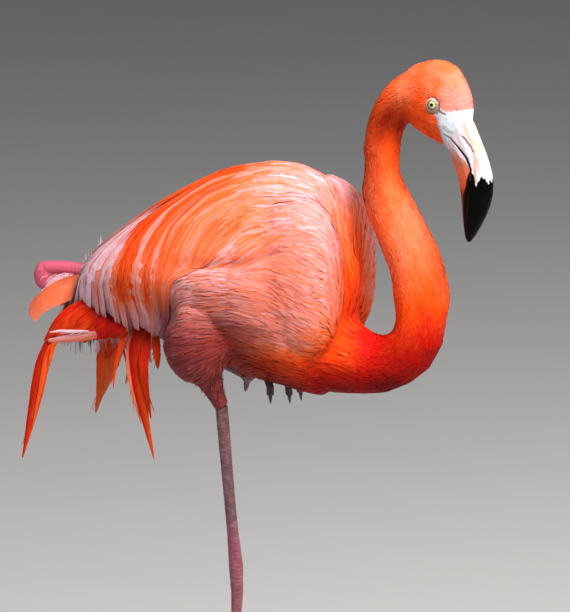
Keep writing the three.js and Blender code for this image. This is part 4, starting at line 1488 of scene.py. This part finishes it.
def make_eye(name, side, iris, lid_skin):
    centre, ahead, up, out = eye_frame(side, *EYE_TURN)
    rings, turns = 28, 48
    polar = np.linspace(0, math.pi, rings + 1)[1:-1]
    around = np.arange(turns) * 2 * math.pi / turns
    bulge = 1 + 0.05 * bell(polar, 0.5)
    radial = EYE_RADIUS * np.sin(polar) * bulge
    high = EYE_RADIUS * np.cos(polar) * bulge
    grid = (
        centre
        + radial[:, None, None] * (np.cos(around)[:, None] * ahead + np.sin(around)[:, None] * up)
        + high[:, None, None] * out
    )
    poles = [centre + out * EYE_RADIUS * 1.05, centre - out * EYE_RADIUS]
    points = np.vstack([grid.reshape(-1, 3), poles])
    quads = tube_faces(rings - 1, turns, side)
    front = len(points) - 2
    i = np.arange(turns)
    j = (i + 1) % turns
    last = (rings - 2) * turns
    caps = [
        np.stack([i, j, np.full(turns, front)], 1),
        np.stack([last + j, last + i, np.full(turns, front + 1)], 1),
    ]
    if side < 0:
        caps = [c[:, ::-1] for c in caps]
    mesh = mesh_of(name, points, [quads, *caps])
    offset = points - centre
    reach = np.linalg.norm(offset - (offset @ out)[:, None] * out, axis=1)
    mark(mesh, "gaze", np.where(offset @ out > 0, reach, 9.0))
    place(mesh, name + "_ball", iris, "eye", [name])
    make_lid(name, side, lid_skin)


def tube_faces(rows, turns, side):
    """Quads over a grid of rows, closed round its turns."""
    i, j = np.meshgrid(np.arange(rows - 1), np.arange(turns), indexing="ij")
    after = (j + 1) % turns
    quads = np.stack([i * turns + j, (i + 1) * turns + j, (i + 1) * turns + after, i * turns + after], -1)
    quads = quads.reshape(-1, 4)
    return quads if side > 0 else quads[:, ::-1]


def make_lid(name, side, material):
    """The wrinkled ring of bare skin round an eye, a closed band."""
    centre, ahead, up, out = eye_frame(side, *RING_TURN)
    turns = 72
    around = np.arange(turns) * 2 * math.pi / turns
    profile = smooth_line(LID_PROFILE + LID_PROFILE[:1], 56)[:-1]
    reach, rise = profile[:, :1], profile[:, 1:]
    give = ease(4.9, 7.5, reach)
    crease = 0.12 * np.sin(13 * around + 1 + reach) + 0.08 * np.sin(23 * around - 2 * reach)
    high = rise + crease * ease(5.2, 6.5, reach) * ease(9, 7.5, reach)
    points = (
        centre
        + (reach * np.cos(around) + LID_SHIFT[0] * give)[..., None] * ahead
        + (reach * np.sin(around) + LID_SHIFT[1] * give)[..., None] * up
        + high[..., None] * out
    )
    rows = len(profile)
    i, j = np.meshgrid(np.arange(rows), np.arange(turns), indexing="ij")
    below, after = (i + 1) % rows, (j + 1) % turns
    quads = np.stack([i * turns + j, below * turns + j, below * turns + after, i * turns + after], -1)
    quads = quads.reshape(-1, 4)
    mesh = mesh_of(name + "_lid", points.reshape(-1, 3), [quads if side > 0 else quads[:, ::-1]])
    ragged = reach + 0.15 * np.sin(7 * around) + 0.1 * np.sin(17 * around + 2)
    # groove is painted shade: in the folds, most at the lower front, and at the ring's inner edge against
    # the eye.
    groove = sum(share * bell(ragged - where, 0.28) for where, share in LID_GROOVES)
    lower_front = ease(-0.5, 0.8, np.cos(around + math.radians(50)))
    groove = groove * (0.35 + 0.65 * lower_front) + 1.3 * bell(reach - 4.65, 0.4)
    mark(mesh, "groove", np.clip(groove, 0, 1).ravel())
    mark(mesh, "tan", (lower_front + 0 * reach).ravel())
    place(mesh, name + "_lid", material, "leg_skin")


# ---------------------------------------------------------------- legs, feet and claws

SCUTE = 4.4


def leg_material(name):
    """Scaly leg skin: grey-pink, brighter at the hock, darker between the scutes."""
    material, tree, shader = new_material(name, 0.5)
    mottle = noise(tree, 160.0, 5.0)
    grain = noise(tree, 900.0, 3.0)
    seam = attribute(tree, "seam")
    colour = ramp(mottle, [
        (0.3, (0.09, 0.034, 0.042)), (0.5, (0.15, 0.058, 0.072)), (0.7, (0.25, 0.115, 0.145)),
    ])
    colour = mix(attribute(tree, "joint"), colour, (0.6, 0.08, 0.15))
    colour = mix(attribute(tree, "foot"), colour, (0.05, 0.022, 0.025))
    colour = mix(seam * 0.4, colour, (0.12, 0.05, 0.06))
    paint(shader, colour, mottle + grain - seam, 0.0005, 0.5)
    return material


def make_leg(side, hock, material):
    """Shank, tarsus and foot as one skin, ringed with scutes."""
    names = [f"{part}_{side}" for part in ("shank", "tarsus", "foot")]
    points, faces = remeshed(names, 1.1, 0.3)
    points = relax(points, faces, 8)
    normals = normals_of(points, faces)
    forward, left, height = body_places(points)
    near = np.linalg.norm(points - at(*hock), axis=1)
    if side == "right":
        run, foot = height, ease(-274, -288, height)
        around = forward - np.interp(height, [-300, 0], [-14, 0])
    else:
        run, foot = forward, ease(5, 14, forward) * ease(50, 40, left)
        around = height
    row = run / SCUTE + 0.5 * (around > 0)
    knob = ease(38, 26, near) if side == "left" else 0.0
    seam = bell(np.abs((row % 1) - 0.5) - 0.5, 0.13) * (1 - foot) * (1 - knob)
    toes = 1 - np.abs(np.sin(math.pi * np.linalg.norm(points - middle(f"foot_{side}"), axis=1) / 3.2))
    seam = np.clip(seam + 0.7 * foot * bell(1 - toes, 0.25), 0, 1)
    points = points - normals * (0.3 + 0.3 * seam)[:, None]
    if side == "right":
        points[:, 2] = np.maximum(points[:, 2], 0)
    mesh = mesh_of(f"leg_{side}", points, [faces])
    mark(mesh, "seam", seam)
    mark(mesh, "joint", (0.95 if side == "left" else 0.25) * ease(70, 30, near))
    mark(mesh, "foot", (0.95 if side == "left" else 0.55) * foot)
    place(mesh, f"leg_{side}", material, "leg_skin", names)


def claw_material():
    material, tree, shader = new_material("claw_horn", 0.3)
    # Dark horn, with painted bluish glints where the noise is high.
    colour = ramp(noise(tree, 240.0), [
        (0.35, (0.02, 0.018, 0.02)), (0.62, (0.05, 0.045, 0.05)), (0.75, (0.3, 0.32, 0.36)),
    ])
    paint(shader, colour, noise(tree, 800.0), 0.0003, 0.4)
    return material


def make_claws(side, material):
    names = [f"claw_{side}_{toe}" for toe in ("inner", "middle", "outer")]
    points, faces = remeshed(names, 0.5, 0.1)
    points = relax(points, faces, 6)
    if side == "right":
        points[:, 2] = np.maximum(points[:, 2], 0)
    place(mesh_of(f"claws_{side}", points, [faces]), f"claws_{side}", material, "claw", names)


# ---------------------------------------------------------------- the bird

def main():
    make_camera()
    make_stage()
    skin = Skin(make_skin())
    make_coat(skin)
    loose = feather_material("plume_vanes", 0.3, 0.4)
    make_tail(skin, loose)
    make_undertail(skin, loose)
    make_plumes(skin, loose)
    make_down(skin, loose)
    make_bill("bill_upper", BLACK_ABOVE, WHITE_TO_ROSE, True)
    make_bill("bill_lower", BLACK_BELOW, LILAC_TO_ORANGE, False)
    iris, lid_skin = eye_material(), lid_material()
    make_eye("eye_right", -1, iris, lid_skin)
    make_eye("eye_left", 1, iris, lid_skin)
    leg_skin, horn = leg_material("leg_skin"), claw_material()
    make_leg("right", (0, -12, 0), leg_skin)
    make_leg("left", (-256, 70, 286), leg_skin)
    for side in ("right", "left"):
        make_claws(side, horn)


main()
